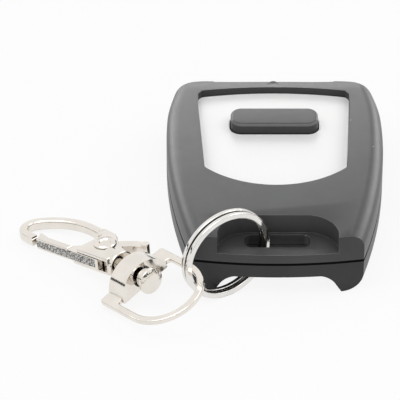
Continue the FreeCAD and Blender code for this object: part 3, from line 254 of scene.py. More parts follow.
class NodeSheet:
    """A material under construction, with short calls for its nodes."""

    crevice_rays = 8

    def __init__(self, name: str) -> None:
        """Starts an empty node material.

        Args:
            name: Name of the material.
        """
        self.material = bpy.data.materials.new(name)
        self.material.use_nodes = True
        self.tree = self.material.node_tree
        self.shader = self.tree.nodes["Principled BSDF"]
        self.place = self.tree.nodes.new("ShaderNodeTexCoord").outputs["Object"]

    def noise(self, scale: float, detail: float = 2.0, roughness: float = 0.5,
              stretch: Triple | None = None) -> bpy.types.NodeSocket:
        """Adds a noise in object space.

        Args:
            scale: Cells to the metre.
            detail: Octaves.
            roughness: Weight of the finer octaves.
            stretch: How much finer the noise is along each axis, for a brushed grain.

        Returns:
            The noise value socket.
        """
        node = self.tree.nodes.new("ShaderNodeTexNoise")
        node.inputs["Scale"].default_value = scale
        node.inputs["Detail"].default_value = detail
        node.inputs["Roughness"].default_value = roughness
        place = self.place
        if stretch is not None:
            mapping = self.tree.nodes.new("ShaderNodeMapping")
            mapping.inputs["Scale"].default_value = stretch
            self.tree.links.new(place, mapping.inputs["Vector"])
            place = mapping.outputs["Vector"]
        self.tree.links.new(place, node.inputs["Vector"])
        return node.outputs["Fac"]

    def ahead(self) -> bpy.types.NodeSocket:
        """Adds the place along the length of the fob, in metres from its middle.

        Returns:
            The value socket.
        """
        split = self.tree.nodes.new("ShaderNodeSeparateXYZ")
        self.tree.links.new(self.place, split.inputs["Vector"])
        return split.outputs["Y"]

    def ramp(self, value: bpy.types.NodeSocket, low: float, high: float,
             first: Sequence[float], last: Sequence[float]) -> bpy.types.NodeSocket:
        """Turns a value into a colour between two colours.

        Args:
            value: The value to read.
            low: Value at which the first colour ends.
            high: Value at which the last colour starts.
            first: Linear colour below.
            last: Linear colour above.

        Returns:
            The colour socket.
        """
        node = self.tree.nodes.new("ShaderNodeValToRGB")
        node.color_ramp.elements[0].position = low
        node.color_ramp.elements[1].position = high
        node.color_ramp.elements[0].color = (*first, 1.0)
        node.color_ramp.elements[1].color = (*last, 1.0)
        self.tree.links.new(value, node.inputs["Fac"])
        return node.outputs["Color"]

    def span(self, value: bpy.types.NodeSocket, low: float, high: float) -> bpy.types.NodeSocket:
        """Maps a value from 0..1 to low..high.

        Args:
            value: The value to read.
            low: Result at 0.
            high: Result at 1.

        Returns:
            The mapped value socket.
        """
        node = self.tree.nodes.new("ShaderNodeMapRange")
        node.inputs["To Min"].default_value = low
        node.inputs["To Max"].default_value = high
        self.tree.links.new(value, node.inputs["Value"])
        return node.outputs["Result"]

    def bump(self, height: bpy.types.NodeSocket, depth: float, strength: float = 1.0,
             after: bpy.types.NodeSocket | None = None) -> bpy.types.NodeSocket:
        """Adds a bump of a real depth.

        Args:
            height: Height value, 0 to 1.
            depth: Depth in metres.
            strength: Share of the bump that shows.
            after: A bump to build on.

        Returns:
            The normal socket.
        """
        node = self.tree.nodes.new("ShaderNodeBump")
        node.inputs["Strength"].default_value = strength
        node.inputs["Distance"].default_value = depth
        self.tree.links.new(height, node.inputs["Height"])
        if after is not None:
            self.tree.links.new(after, node.inputs["Normal"])
        return node.outputs["Normal"]

    def specks(self, cells: float, size: float) -> bpy.types.NodeSocket:
        """Adds sparse round specks in object space.

        Args:
            cells: Cells to the metre, with one speck in each.
            size: Radius of a speck, as a share of its cell.

        Returns:
            A value that is 1 in the specks and 0 between them.
        """
        node = self.tree.nodes.new("ShaderNodeTexVoronoi")
        node.inputs["Scale"].default_value = cells
        self.tree.links.new(self.place, node.inputs["Vector"])
        limit = self.tree.nodes.new("ShaderNodeMath")
        limit.operation = "LESS_THAN"
        limit.inputs[1].default_value = size
        self.tree.links.new(node.outputs["Distance"], limit.inputs[0])
        return limit.outputs["Value"]

    def crevice(self, reach: float) -> bpy.types.NodeSocket:
        """Adds a value that falls from 1 in the open to 0 in narrow recesses.

        Args:
            reach: How far off a facing wall still counts, in metres.

        Returns:
            The openness socket.
        """
        node = self.tree.nodes.new("ShaderNodeAmbientOcclusion")
        node.inputs["Distance"].default_value = reach
        node.samples = self.crevice_rays
        return node.outputs["AO"]

    def blend(self, share: bpy.types.NodeSocket, first: bpy.types.NodeSocket | Sequence[float],
              last: bpy.types.NodeSocket | Sequence[float]) -> bpy.types.NodeSocket:
        """Blends two colours by a share.

        Args:
            share: 0 shows the first colour, 1 the last.
            first: A colour socket or a linear colour.
            last: A colour socket or a linear colour.

        Returns:
            The colour socket.
        """
        node = self.tree.nodes.new("ShaderNodeMix")
        node.data_type = "RGBA"
        self.tree.links.new(share, node.inputs["Factor"])
        for name, colour in (("A", first), ("B", last)):
            socket = next(s for s in node.inputs if s.name == name and s.type == "RGBA")
            if isinstance(colour, bpy.types.NodeSocket):
                self.tree.links.new(colour, socket)
            else:
                socket.default_value = (*colour, 1.0)
        return next(s for s in node.outputs if s.type == "RGBA")

    def feed(self, socket: bpy.types.NodeSocket, name: str) -> None:
        """Feeds a value to one of the shader's inputs.

        Args:
            socket: The value.
            name: The shader's input.
        """
        self.tree.links.new(socket, self.shader.inputs[name])

    def set(self, **values: float) -> None:
        """Sets uniform numbers on the shader's own sockets.

        Args:
            values: Socket names in lower case with underscores, and their numbers.
        """
        for name, value in values.items():
            socket = name.replace("_", " ").title().replace("Ior", "IOR")
            self.shader.inputs[socket].default_value = value


@dataclass(frozen=True)
class MouldedPlastic:
    """Spark-eroded black plastic: a fine grain, handling marks and a little dust, with painted
    shade that darkens it in recesses.
    """

    name: str
    colour: Triple
    roughness: float = 0.42
    shine: float = 0.32
    bloom: float = 0.08
    bloom_roughness: float = 0.35
    cloud: float = 90.0
    cloud_ends: Pair = (0.3, 0.7)
    mottle: float = 0.14
    marks: float = 600.0
    smoother: float = 0.06
    rougher: float = 0.08
    grain: float = 7000.0
    grain_depth: float = 0.012 * MM
    grain_share: float = 0.55
    recess_shade_reach: float = 6.0 * MM
    recess_shade_ends: Pair = (0.15, 0.75)
    recess_shade_tone: float = 0.3
    dust_cells: float = 170.0
    dust_size: float = 0.022
    dust: Triple = (0.45, 0.45, 0.45)

    def build(self) -> bpy.types.Material:
        """Builds the material.

        Returns:
            The material, ready for a piece.
        """
        sheet = NodeSheet(self.name)
        cloud = sheet.noise(self.cloud, detail=4.0, roughness=0.6)
        tone = sheet.ramp(cloud, *self.cloud_ends, toned(self.colour, 1.0 - self.mottle),
                          toned(self.colour, 1.0 + self.mottle))
        # painted shade: the colour falls to a darker tone in recesses and near facing walls
        unshaded_share = sheet.ramp(sheet.crevice(self.recess_shade_reach), *self.recess_shade_ends, BLACK, WHITE)
        tone = sheet.blend(unshaded_share, toned(self.colour, self.recess_shade_tone), tone)
        tone = sheet.blend(sheet.specks(self.dust_cells, self.dust_size), tone, self.dust)
        sheet.feed(tone, "Base Color")
        marks = sheet.noise(self.marks, detail=5.0, roughness=0.7)
        sheet.feed(sheet.span(marks, self.roughness - self.smoother,
                              self.roughness + self.rougher), "Roughness")
        grain = sheet.noise(self.grain, detail=3.0, roughness=0.6)
        sheet.feed(sheet.bump(grain, self.grain_depth, self.grain_share), "Normal")
        sheet.set(specular_ior_level=self.shine, sheen_weight=self.bloom,
                  sheen_roughness=self.bloom_roughness)
        return sheet.material


@dataclass(frozen=True)
class PolishedNickel:
    """Warm plated metal with fine polishing lines and cloudy patches, with painted shade that
    darkens it in gaps and recesses.
    """

    name: str
    colour: Triple = (0.83, 0.785, 0.725)
    roughness: float = 0.10
    cloud: float = 260.0
    cloud_ends: Pair = (0.35, 0.65)
    dull_tone: float = 0.93
    smears: float = 900.0
    smear_shares: Pair = (0.5, 1.6)
    ripples: float = 420.0
    ripple_depth: float = 0.0105 * MM
    ripple_share: float = 0.4
    lines: float = 4200.0
    line_depth: float = 0.0018 * MM
    line_share: float = 0.5
    gap_shade: Triple = (0.035, 0.031, 0.027)
    gap_shade_reach: float = 1.9 * MM
    gap_shade_ends: Pair = (0.12, 0.62)

    def build(self) -> bpy.types.Material:
        """Builds the material.

        Returns:
            The material, ready for a piece.
        """
        sheet = NodeSheet(self.name)
        sheet.set(metallic=1.0)
        cloud = sheet.noise(self.cloud, detail=3.0, roughness=0.55)
        dull = toned(self.colour, self.dull_tone)
        clean = sheet.ramp(cloud, *self.cloud_ends, dull, self.colour)
        # painted shade: the colour falls to near black in gaps and recesses
        unshaded_share = sheet.ramp(sheet.crevice(self.gap_shade_reach), *self.gap_shade_ends, BLACK, WHITE)
        sheet.feed(sheet.blend(unshaded_share, self.gap_shade, clean), "Base Color")
        smear = sheet.noise(self.smears, detail=4.0, roughness=0.6)
        low, high = (self.roughness * share for share in self.smear_shares)
        sheet.feed(sheet.span(smear, low, high), "Roughness")
        ripple = sheet.bump(sheet.noise(self.ripples), self.ripple_depth, self.ripple_share)
        lines = sheet.noise(self.lines, detail=3.0, roughness=0.6)
        sheet.feed(sheet.bump(lines, self.line_depth, self.line_share, ripple), "Normal")
        return sheet.material


@dataclass(frozen=True)
class KnurledNickel:
    """Rough grey grip of a plated lever, with fine file marks."""

    name: str
    colour: Triple = (0.22, 0.215, 0.205)
    roughness: float = 0.42
    pits: float = 3600.0
    pit_ends: Pair = (0.42, 0.6)
    pit_depth: float = 0.06 * MM
    pit_share: float = 0.8
    pit_tone: float = 0.5
    crest_tone: float = 3.0
    pit_rougher: float = 0.1
    crest_smoother: float = 0.12

    def build(self) -> bpy.types.Material:
        """Builds the material.

        Returns:
            The material, ready for a piece.
        """
        sheet = NodeSheet(self.name)
        sheet.set(metallic=1.0)
        grain = sheet.noise(self.pits, roughness=0.6)
        sheet.feed(sheet.ramp(grain, *self.pit_ends, toned(self.colour, self.pit_tone),
                              toned(self.colour, self.crest_tone)), "Base Color")
        sheet.feed(sheet.span(grain, self.roughness + self.pit_rougher,
                              self.roughness - self.crest_smoother), "Roughness")
        sheet.feed(sheet.bump(grain, self.pit_depth, self.pit_share), "Normal")
        return sheet.material


@dataclass(frozen=True)
class SatinPlate:
    """Bright face plate: near-white satin sheet, faintly brushed, with painted light that makes it
    lighter towards its far end, where the recess wall shades it.
    """

    name: str
    colour: Triple = (0.98, 0.98, 0.975)
    painted_light_near_tone: float = 0.905
    near_end: float = 12.0 * MM
    far_end: float = 25.0 * MM
    roughness: float = 0.42
    metallic: float = 0.05
    shine: float = 0.2
    cloud: float = 40.0
    cloud_ends: Pair = (0.3, 0.7)
    cloud_share: float = 0.5
    brush: float = 160.0
    brush_stretch: Triple = (1.0, 60.0, 1.0)
    brush_depth: float = 0.004 * MM
    brush_share: float = 0.4
    smoother: float = 0.04
    rougher: float = 0.06

    def build(self) -> bpy.types.Material:
        """Builds the material.

        Returns:
            The material, ready for a piece.
        """
        sheet = NodeSheet(self.name)
        near = toned(self.colour, self.painted_light_near_tone)
        # painted light: the colour rises from the darker near tone to full towards the far end,
        # against the recess wall's shade
        tone = sheet.ramp(sheet.ahead(), self.near_end, self.far_end, near, self.colour)
        cloud = sheet.ramp(sheet.noise(self.cloud), *self.cloud_ends, BLACK,
                           toned(WHITE, self.cloud_share))
        sheet.feed(sheet.blend(cloud, tone, near), "Base Color")
        grain = sheet.noise(self.brush, stretch=self.brush_stretch)
        sheet.feed(sheet.span(grain, self.roughness - self.smoother,
                              self.roughness + self.rougher), "Roughness")
        sheet.feed(sheet.bump(grain, self.brush_depth, self.brush_share), "Normal")
        sheet.set(metallic=self.metallic, specular_ior_level=self.shine)
        return sheet.material


@dataclass(frozen=True)
class BoardLacquer:
    """Plain inner parts: lacquer, epoxy, ceramic or solder-dull metal with a mottled tone."""

    name: str
    colour: Triple
    roughness: float = 0.4
    metallic: float = 0.0
    cloud: float = 500.0
    cloud_ends: Pair = (0.3, 0.7)
    darker: float = 0.85
    lighter: float = 1.1
    smoother: float = 0.05
    rougher: float = 0.1
    grain: float = 3000.0
    grain_depth: float = 0.01 * MM
    grain_share: float = 0.4

    def build(self) -> bpy.types.Material:
        """Builds the material.

        Returns:
            The material, ready for a piece.
        """
        sheet = NodeSheet(self.name)
        cloud = sheet.noise(self.cloud, detail=3.0, roughness=0.6)
        sheet.feed(sheet.ramp(cloud, *self.cloud_ends, toned(self.colour, self.darker),
                              toned(self.colour, self.lighter)), "Base Color")
        sheet.feed(sheet.span(cloud, self.roughness - self.smoother,
                              self.roughness + self.rougher), "Roughness")
        grain = sheet.noise(self.grain)
        sheet.feed(sheet.bump(grain, self.grain_depth, self.grain_share), "Normal")
        sheet.set(metallic=self.metallic)
        return sheet.material


@dataclass(frozen=True)
class TintedLens:
    """Dark tinted lens of the indicator."""

    name: str
    colour: Triple = (0.028, 0.022, 0.022)
    roughness: Pair = (0.08, 0.14)
    cloud: float = 800.0
    cloud_ends: Pair = (0.3, 0.7)
    darker: float = 0.8
    clearness: float = 0.35
    coat: float = 0.6

    def build(self) -> bpy.types.Material:
        """Builds the material.

        Returns:
            The material, ready for a piece.
        """
        sheet = NodeSheet(self.name)
        cloud = sheet.noise(self.cloud)
        dark = toned(self.colour, self.darker)
        sheet.feed(sheet.ramp(cloud, *self.cloud_ends, dark, self.colour), "Base Color")
        sheet.feed(sheet.span(cloud, *self.roughness), "Roughness")
        sheet.set(transmission_weight=self.clearness, coat_weight=self.coat)
        return sheet.material


# the case

@dataclass
class CaseShells:
    """The upper and lower mouldings of the case.

    The shells meet at the height of the seam. The corner sizes give the strip of the far end
    that is drawn in, by what share, and how far the pull reaches. The scoop sizes give how wide
    the far edge is lowered, in how many steps it runs out, and by what share of its height above
    the seam. The pocket sizes bound the edges that are painted pale, partly as wear and partly as
    a painted highlight.
    """

    edge: float = 0.28 * MM
    upper_finish: MouldedPlastic = MouldedPlastic("Upper_shell_plastic", (0.052, 0.053, 0.053))
    lower_finish: MouldedPlastic = MouldedPlastic("Lower_shell_plastic", (0.031, 0.031, 0.032))
    # pale edge colour: partly wear, partly a painted highlight
    worn_and_highlight_finish: MouldedPlastic = MouldedPlastic("Worn_edge_highlight_plastic", (0.4, 0.4, 0.39), 0.35)
    seam_finish: MouldedPlastic = MouldedPlastic("Seam_shadow", (0.006, 0.006, 0.006), 0.8,
                                                 shine=0.0, bloom=0.0)
    seam: float = 7.275 * MM
    seam_half: float = 0.28 * MM
    side_wall: float = 15.0 * MM
    end_wall: float = 27.0 * MM
    recess_half: float = 15.6 * MM
    far_edge: float = 31.0 * MM
    corner_strip: float = 1.5 * MM
    corner_share: float = 0.955
    corner_reach: float = 15.0 * MM
    scoop_half: float = 11.6 * MM
    scoop_run: float = 2.6 * MM
    scoop_steps: int = 4
    scoop_from: float = 25.0 * MM
    scoop_edge: float = 28.0 * MM
    scoop_share: float = 0.07
    pocket_far: float = -13.0 * MM
    pocket_low: float = 8.4 * MM
    pocket_half: float = 14.5 * MM
    worn_and_highlight_edge: float = 0.22 * MM
    worn_and_highlight_angle: float = 40.0

    def _narrow_far_corners(self, shell: bpy.types.Object) -> None:
        """Draws the far corners in a little, which leaves the recess and the sides as they are.

        Args:
            shell: One of the two shells.
        """
        choose_points(shell, lambda spot: abs(spot.x) < self.recess_half)
        bpy.ops.mesh.hide(unselected=False)
        bpy.ops.object.mode_set(mode="OBJECT")
        for corner in shell.data.vertices:
            corner.select = not corner.hide and corner.co.y > self.far_edge - self.corner_strip
        bpy.ops.object.mode_set(mode="EDIT")
        bpy.ops.transform.resize(
            value=(self.corner_share, 1.0, 1.0), center_override=(0.0, self.far_edge, 0.0),
            use_proportional_edit=True, proportional_edit_falloff="SMOOTH",
            proportional_size=self.corner_reach)
        bpy.ops.mesh.reveal(select=False)
        bpy.ops.object.mode_set(mode="OBJECT")

    def _scoop_far_edge(self, shell: bpy.types.Object) -> None:
        """Lowers the middle of the far edge a little between its two raised corners.

        Args:
            shell: The upper shell.
        """
        steps = self.scoop_steps
        places = [self.scoop_half + self.scoop_run * step / steps for step in range(steps + 1)]
        for place in places:
            for side in (-1.0, 1.0):
                choose_faces(shell, lambda face: face.center.y > self.scoop_from)
                bpy.ops.mesh.bisect(plane_co=(side * place, 0.0, 0.0), plane_no=(1.0, 0.0, 0.0))
        turn = math.pi / steps
        for step in range(steps):
            share = (math.cos(step * turn) - math.cos((step + 1) * turn)) / 2
            choose_points(shell, lambda spot: abs(spot.x) < places[step] + HAIR
                          and spot.y > self.scoop_edge
                          and spot.z > self.seam + self.seam_half)
            bpy.ops.transform.resize(value=(1.0, 1.0, 1.0 - share * self.scoop_share),
                                     center_override=(0.0, 0.0, self.seam))
        bpy.ops.object.mode_set(mode="OBJECT")

    def _wear_and_highlight_pocket_edges(self, shell: bpy.types.Object) -> None:
        """Breaks the pocket's edges with narrow facets painted pale, partly as wear and partly as a
        painted highlight.

        Args:
            shell: The upper shell, which has its main finish.
        """
        # pale paint on the pocket's edges: partly wear, partly a painted highlight
        shell.data.materials.append(self.worn_and_highlight_finish.build())
        edit_nothing(shell, "EDGE")
        bpy.ops.mesh.edges_select_sharp(sharpness=math.radians(self.worn_and_highlight_angle))
        bpy.ops.object.mode_set(mode="OBJECT")
        spots = shell.data.vertices
        for edge in shell.data.edges:
            ends = [spots[index].co for index in edge.vertices]
            edge.select = edge.select and all(
                end.y < self.pocket_far and end.z > self.pocket_low
                and abs(end.x) < self.pocket_half for end in ends)
        bpy.ops.object.mode_set(mode="EDIT")
        bpy.ops.mesh.bevel(offset=self.worn_and_highlight_edge, segments=3, clamp_overlap=True,
                           material=len(shell.data.materials) - 1)
        bpy.ops.object.mode_set(mode="OBJECT")

    def _mark_seam(self, shell: bpy.types.Object, side: float) -> None:
        """Cuts the line on a shell's walls where the shadow of the seam ends.

        Args:
            shell: One of the two shells.
            side: 1 for the shell above the seam and -1 for the one below.
        """
        activate(shell)
        bpy.ops.object.mode_set(mode="EDIT")
        bpy.ops.mesh.select_all(action="SELECT")
        bpy.ops.mesh.bisect(plane_co=(0.0, 0.0, self.seam + side * self.seam_half),
                            plane_no=(0.0, 0.0, 1.0))
        bpy.ops.object.mode_set(mode="OBJECT")

    def _on_seam(self, face: bpy.types.MeshPolygon) -> bool:
        """Says whether a face is in the fine groove round the outside, between the shells.

        Args:
            face: A face of a shell.

        Returns:
            True in the groove.
        """
        spot, facing = face.center, face.normal
        outside = ((abs(spot.x) > self.side_wall and spot.x * facing.x > 0.0)
                   or (abs(spot.y) > self.end_wall and spot.y * facing.y > 0.0))
        return outside and abs(spot.z - self.seam) < self.seam_half

    def build(self) -> None:
        """Builds both shells with softened edges."""
        upper = ("top_shell", self.upper_finish, Slot.SHELL_UPPER, 1.0)
        lower = ("bottom_shell", self.lower_finish, Slot.SHELL_LOWER, -1.0)
        shadow = self.seam_finish.build()
        for node, finish, slot, side in (upper, lower):
            shell = copy_node(node, "Housing_" + node)
            plastic = finish.build()
            shell.data.materials.append(plastic)
            self._narrow_far_corners(shell)
            if node == "top_shell":
                self._scoop_far_edge(shell)
                self._wear_and_highlight_pocket_edges(shell)
            self._mark_seam(shell, side)
            soften(shell, self.edge)
            place_piece(shell, plastic, Body.CASE, [node])
            finish_faces(shell, shadow, self._on_seam)


@dataclass
class FacePlate:
    """The bright plate in the recess of the upper shell."""

    edge: float = 0.1 * MM
    lip: float = 0.3 * MM
    lip_step: float = 0.04 * MM
    lip_height: float = 0.08 * MM
    least_up: float = 0.7
    top_slope: float = 3.0 * MM
    finish: SatinPlate = SatinPlate("Face_plate_sheet")

    def build(self) -> None:
        """Builds the plate with a fine raised lip round its rim and round the button's hole."""
        plate = copy_node("face_plate", "Face_plate")
        lowest = max(corner.co.z for corner in plate.data.vertices) - self.top_slope
        choose_faces(plate, lambda face: face.normal.z > self.least_up and face.center.z > lowest)
        for thickness in (self.lip, self.lip_step):
            bpy.ops.mesh.inset(thickness=thickness, use_boundary=True, use_even_offset=True)
        bpy.ops.transform.translate(value=(0.0, 0.0, -self.lip_height))
        bpy.ops.object.mode_set(mode="OBJECT")
        soften(plate, self.edge)
        place_piece(plate, self.finish.build(), Body.CASE, ["face_plate"])


@dataclass
class PressButton:
    """The button cap."""

    edge: float = 0.2 * MM
    edge_steep: float = 0.3
    edge_flat: float = 0.9
    finish: MouldedPlastic = MouldedPlastic("Button_plastic", (0.066, 0.067, 0.067), 0.34,
                                            shine=0.2)
    edge_highlight_finish: MouldedPlastic = MouldedPlastic("Button_edge_highlight_plastic", (0.15, 0.15, 0.15), 0.3)

    def _on_near_edge(self, face: bpy.types.MeshPolygon) -> bool:
        """Says whether a face is on the rounded near edge of the top.

        Args:
            face: A face of the cap.

        Returns:
            True on the near edge.
        """
        facing = face.normal
        return self.edge_steep < facing.z < self.edge_flat and facing.y < -self.edge_steep

    def build(self) -> None:
        """Builds the cap, with a painted highlight that makes its near edge paler."""
        cap = copy_node("button_cap", "Button_cap")
        soften(cap, self.edge)
        place_piece(cap, self.finish.build(), Body.BUTTON, ["button_cap"])
        # painted highlight: the near edge of the top is paler
        finish_faces(cap, self.edge_highlight_finish.build(), self._on_near_edge)


@dataclass
class IndicatorWindow:
    """The smoked window over the indicator, a little below the shell round it."""

    radius: float = 1.08 * MM
    depth: float = 0.5 * MM
    sink: float = 0.22 * MM
    ring: float = 0.378 * MM
    dish_steps: Pair = (0.03 * MM, 0.06 * MM)
    sides: int = 40
    edge: float = 0.08 * MM
    edge_angle: float = 60.0
    rim_reach: float = 1.728 * MM
    finish: MouldedPlastic = MouldedPlastic("Indicator_window", (0.040, 0.039, 0.039), 0.22)

    def build(self) -> None:
        """Builds the window as a shallow dished disc in the indicator's hole."""
        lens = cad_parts["indicator_led"].data.vertices
        centre = sum((corner.co for corner in lens), Vector()) / len(lens)
        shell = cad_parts["top_shell"].data.vertices
        rim = max(corner.co.z for corner in shell
                  if (corner.co - centre).xy.length < self.rim_reach)
        top = rim - self.sink
        deselect_all()
        bpy.ops.mesh.primitive_cylinder_add(
            vertices=self.sides, radius=self.radius, depth=self.depth,
            location=(centre.x, centre.y, top - self.depth / 2))
        window = bpy.context.object
        window.name = "Indicator_window"
        bpy.ops.object.transform_apply(location=True, rotation=True, scale=True)
        choose_faces(window, lambda face: face.center.z > top - HAIR)
        for drop in self.dish_steps:
            bpy.ops.mesh.inset(thickness=self.ring)
            bpy.ops.transform.translate(value=(0.0, 0.0, -drop))
        bpy.ops.object.mode_set(mode="OBJECT")
        soften(window, self.edge, segments=2, angle=self.edge_angle)
        place_piece(window, self.finish.build(), Body.CASE)


# the inner parts and the screws

@dataclass
class SmallParts:
    """The small parts that keep their CAD shape, each with its own finish."""

    finishes: dict[str, Finish] = field(default_factory=lambda: {
        "indicator_led": TintedLens("Indicator_lens"),
        "case_screws": BoardLacquer("Screw_zinc", (0.42, 0.42, 0.44), 0.3, 1.0),
        "circuit_board": BoardLacquer("Board_green", (0.02, 0.13, 0.05), 0.35),
        "coin_cell": BoardLacquer("Cell_steel", (0.6, 0.6, 0.6), 0.25, 1.0),
        "cell_clip": BoardLacquer("Clip_nickel", (0.62, 0.6, 0.55), 0.3, 1.0),
        "cell_contact": BoardLacquer("Contact_nickel", (0.62, 0.6, 0.56), 0.32, 1.0),
        "tact_switch": BoardLacquer("Switch_black", (0.02, 0.02, 0.02), 0.45),
        "switch_plunger": BoardLacquer("Plunger_black", (0.03, 0.03, 0.03), 0.4),
        "transmitter_chip": BoardLacquer("Chip_epoxy", (0.015, 0.015, 0.016), 0.5),
        "encoder_chip": BoardLacquer("Encoder_epoxy", (0.017, 0.017, 0.018), 0.5),
        "saw_resonator": BoardLacquer("Resonator_can", (0.65, 0.65, 0.66), 0.22, 1.0),
        "antenna_loop": BoardLacquer("Aerial_copper", (0.6, 0.3, 0.12), 0.3, 1.0),
        "chip_parts": BoardLacquer("Chip_ceramic", (0.35, 0.27, 0.18), 0.5),
        "gate_spring": BoardLacquer("Spring_steel", (0.55, 0.55, 0.55), 0.25, 1.0),
    })

    def build(self) -> None:
        """Gives each node its finish."""
        for node, finish in self.finishes.items():
            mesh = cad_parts[node].data
            mesh.materials.clear()
            mesh.materials.append(finish.build())
            log.info("%s dressed", node)


# the ring and the hook

@dataclass
class SwivelAxes:
    """The snap hook's own axes: along the swivel post, across the hook and up from its flat."""

    origin: Vector = field(default_factory=lambda: Vector((-28.614, -31.822, 6.156)) * MM)
    turn: float = -50.0
    rise: float = 8.6

    def __post_init__(self) -> None:
        """Works out the three directions."""
        turn = math.radians(self.turn)
        rise = math.radians(self.rise)
        self.along = Vector((math.cos(turn) * math.cos(rise), math.sin(turn) * math.cos(rise),
                             math.sin(rise)))
        self.across = Vector((-math.sin(turn), math.cos(turn), 0.0))
        self.up = self.along.cross(self.across)

    def measure(self, place: Vector) -> tuple[float, float, float]:
        """Gives a place as lengths along, across and up.

        Args:
            place: A place in the frame.

        Returns:
            The three lengths in metres.
        """
        step = place - self.origin
        return step.dot(self.along), step.dot(self.across), step.dot(self.up)


@dataclass
class MetalWork:
    """The split ring, the swivel loop and the snap hook.

    Root, tip and grip are placed along, across and up from the swivel's own axes. The gate's near
    side is a line that lies near_side across at the mouth and slopes from there.
    """

    ring_edge: float = 0.05 * MM
    loop_edge: float = 0.12 * MM
    post_edge: float = 0.12 * MM
    hook_edge: float = 0.06 * MM
    rivet_edge: float = 0.07 * MM
    edge_angle: float = 42.0
    swivel: SwivelAxes = field(default_factory=SwivelAxes)
    root_start: float = -17.2 * MM
    root_end: float = -13.0 * MM
    root_across: float = 4.9 * MM
    root_height: float = 1.25 * MM
    root_drop: float = 0.5 * MM
    tip_along: float = -26.0 * MM
    tip_reach: float = 0.2 * MM
    tip_across: float = -2.0 * MM
    tip_narrow: float = 0.9
    tip_flatten: float = 0.65
    mouth: float = -16.0 * MM
    near_side: float = -4.35 * MM
    near_slope: float = 0.174
    grip_start: float = -8.9 * MM
    grip_end: float = -25.0 * MM
    grip_depth: float = 0.4 * MM
    grip_proud: float = 0.1 * MM
    grip_half: float = 0.94 * MM
    grip_taper: float = 0.8
    grip_edge: float = 0.08 * MM
    nickel: PolishedNickel = PolishedNickel("Hook_nickel")
    knurl: KnurledNickel = KnurledNickel("Grip_nickel")
    steel: PolishedNickel = PolishedNickel("Ring_nickel", (0.82, 0.80, 0.77), 0.08)
    pieces: list[bpy.types.Object] = field(default_factory=list)

    def build(self) -> None:
        """Builds every metal piece with softened edges."""
        nickel = self.nickel.build()
        steel = self.steel.build()
        plan = (
            ("key_ring", Body.RING, steel, Slot.RING_STEEL, self.ring_edge),
            ("swivel_loop", Body.LOOP, nickel, Slot.HOOK_METAL, self.loop_edge),
            ("swivel_post", Body.HOOK, nickel, Slot.HOOK_METAL, self.post_edge),
            ("hook_body", Body.HOOK, nickel, Slot.HOOK_METAL, self.hook_edge),
            ("gate_rivet", Body.HOOK, nickel, Slot.HOOK_METAL, self.rivet_edge),
            ("hook_gate", Body.GATE, nickel, Slot.HOOK_METAL, self.hook_edge),
        )
        for node, body, material, slot, edge in plan:
            piece = copy_node(node, "Metal_" + node)
            if node == "hook_body":
                self._slope_claw_root(piece)
                self._slim_claw_tip(piece)
            soften(piece, edge, segments=2, angle=self.edge_angle)
            place_piece(piece, material, body, [node])
            self.pieces.append(piece)
        self._grip()

    def _at_claw_root(self, spot: Vector, side: float) -> bool:
        """Says whether a place is on the body's shoulders, where the claw starts.

        Args:
            spot: A place on the hook body.
            side: 1 for the upper flat and -1 for the lower one.

        Returns:
            True on the shoulders of that flat.
        """
        along, across, up = self.swivel.measure(spot)
        return (self.root_start < along < self.root_end and across > self.root_across
                and side * up > self.root_height)

    def _at_claw_tip(self, spot: Vector) -> bool:
        """Says whether a place is on the end face of the claw.

        Args:
            spot: A place on the hook body.

        Returns:
            True on the end face.
        """
        along, across, _ = self.swivel.measure(spot)
        return abs(along - self.tip_along) < self.tip_reach and across < self.tip_across

    def _slope_claw_root(self, hook: bpy.types.Object) -> None:
        """Slopes the body's far shoulders down to the claw on both flats.

        Args:
            hook: The hook body.
        """
        for side in (-1.0, 1.0):
            choose_points(hook, lambda spot: self._at_claw_root(spot, side))
            bpy.ops.transform.translate(value=-side * self.root_drop * self.swivel.up)
            bpy.ops.object.mode_set(mode="OBJECT")

    def _slim_claw_tip(self, hook: bpy.types.Object) -> None:
        """Slims the end of the claw, where the gate's tongue meets it.

        Args:
            hook: The hook body.
        """
        choose_points(hook, self._at_claw_tip)
        bpy.ops.transform.resize(value=(self.tip_narrow, self.tip_narrow, self.tip_flatten))
        bpy.ops.object.mode_set(mode="OBJECT")

    def _grip(self) -> None:
        """Lays the rough grip strip along the gate's near side, taller towards the pivot."""
        run = (self.swivel.along + self.near_slope * self.swivel.across).normalized()
        out = self.swivel.up.cross(run).normalized()
        length = self.grip_start - self.grip_end
        middle = (self.grip_start + self.grip_end) / 2
        near = self.near_side + (middle - self.mouth) * self.near_slope
        centre = (self.swivel.origin + middle * self.swivel.along + near * self.swivel.across
                  + (self.grip_proud - self.grip_depth / 2) * -out)
        turn = Matrix((run, out, self.swivel.up)).transposed().to_4x4()
        deselect_all()
        bpy.ops.mesh.primitive_cube_add(size=1.0)
        strip = bpy.context.object
        strip.name = "Grip_strip"
        bpy.ops.transform.resize(value=(length, self.grip_depth, 2 * self.grip_half))
        bpy.ops.object.transform_apply(location=False, rotation=False, scale=True)
        choose_faces(strip, lambda face: face.center.x < -HAIR)
        bpy.ops.transform.resize(value=(1.0, 1.0, self.grip_taper))
        bpy.ops.object.mode_set(mode="OBJECT")
        strip.matrix_world = Matrix.Translation(centre) @ turn
        activate(strip)
        bpy.ops.object.transform_apply(location=True, rotation=True, scale=True)
        soften(strip, self.grip_edge, segments=2)
        place_piece(strip, self.knurl.build(), Body.GATE)
        self.pieces.append(strip)


# the studio

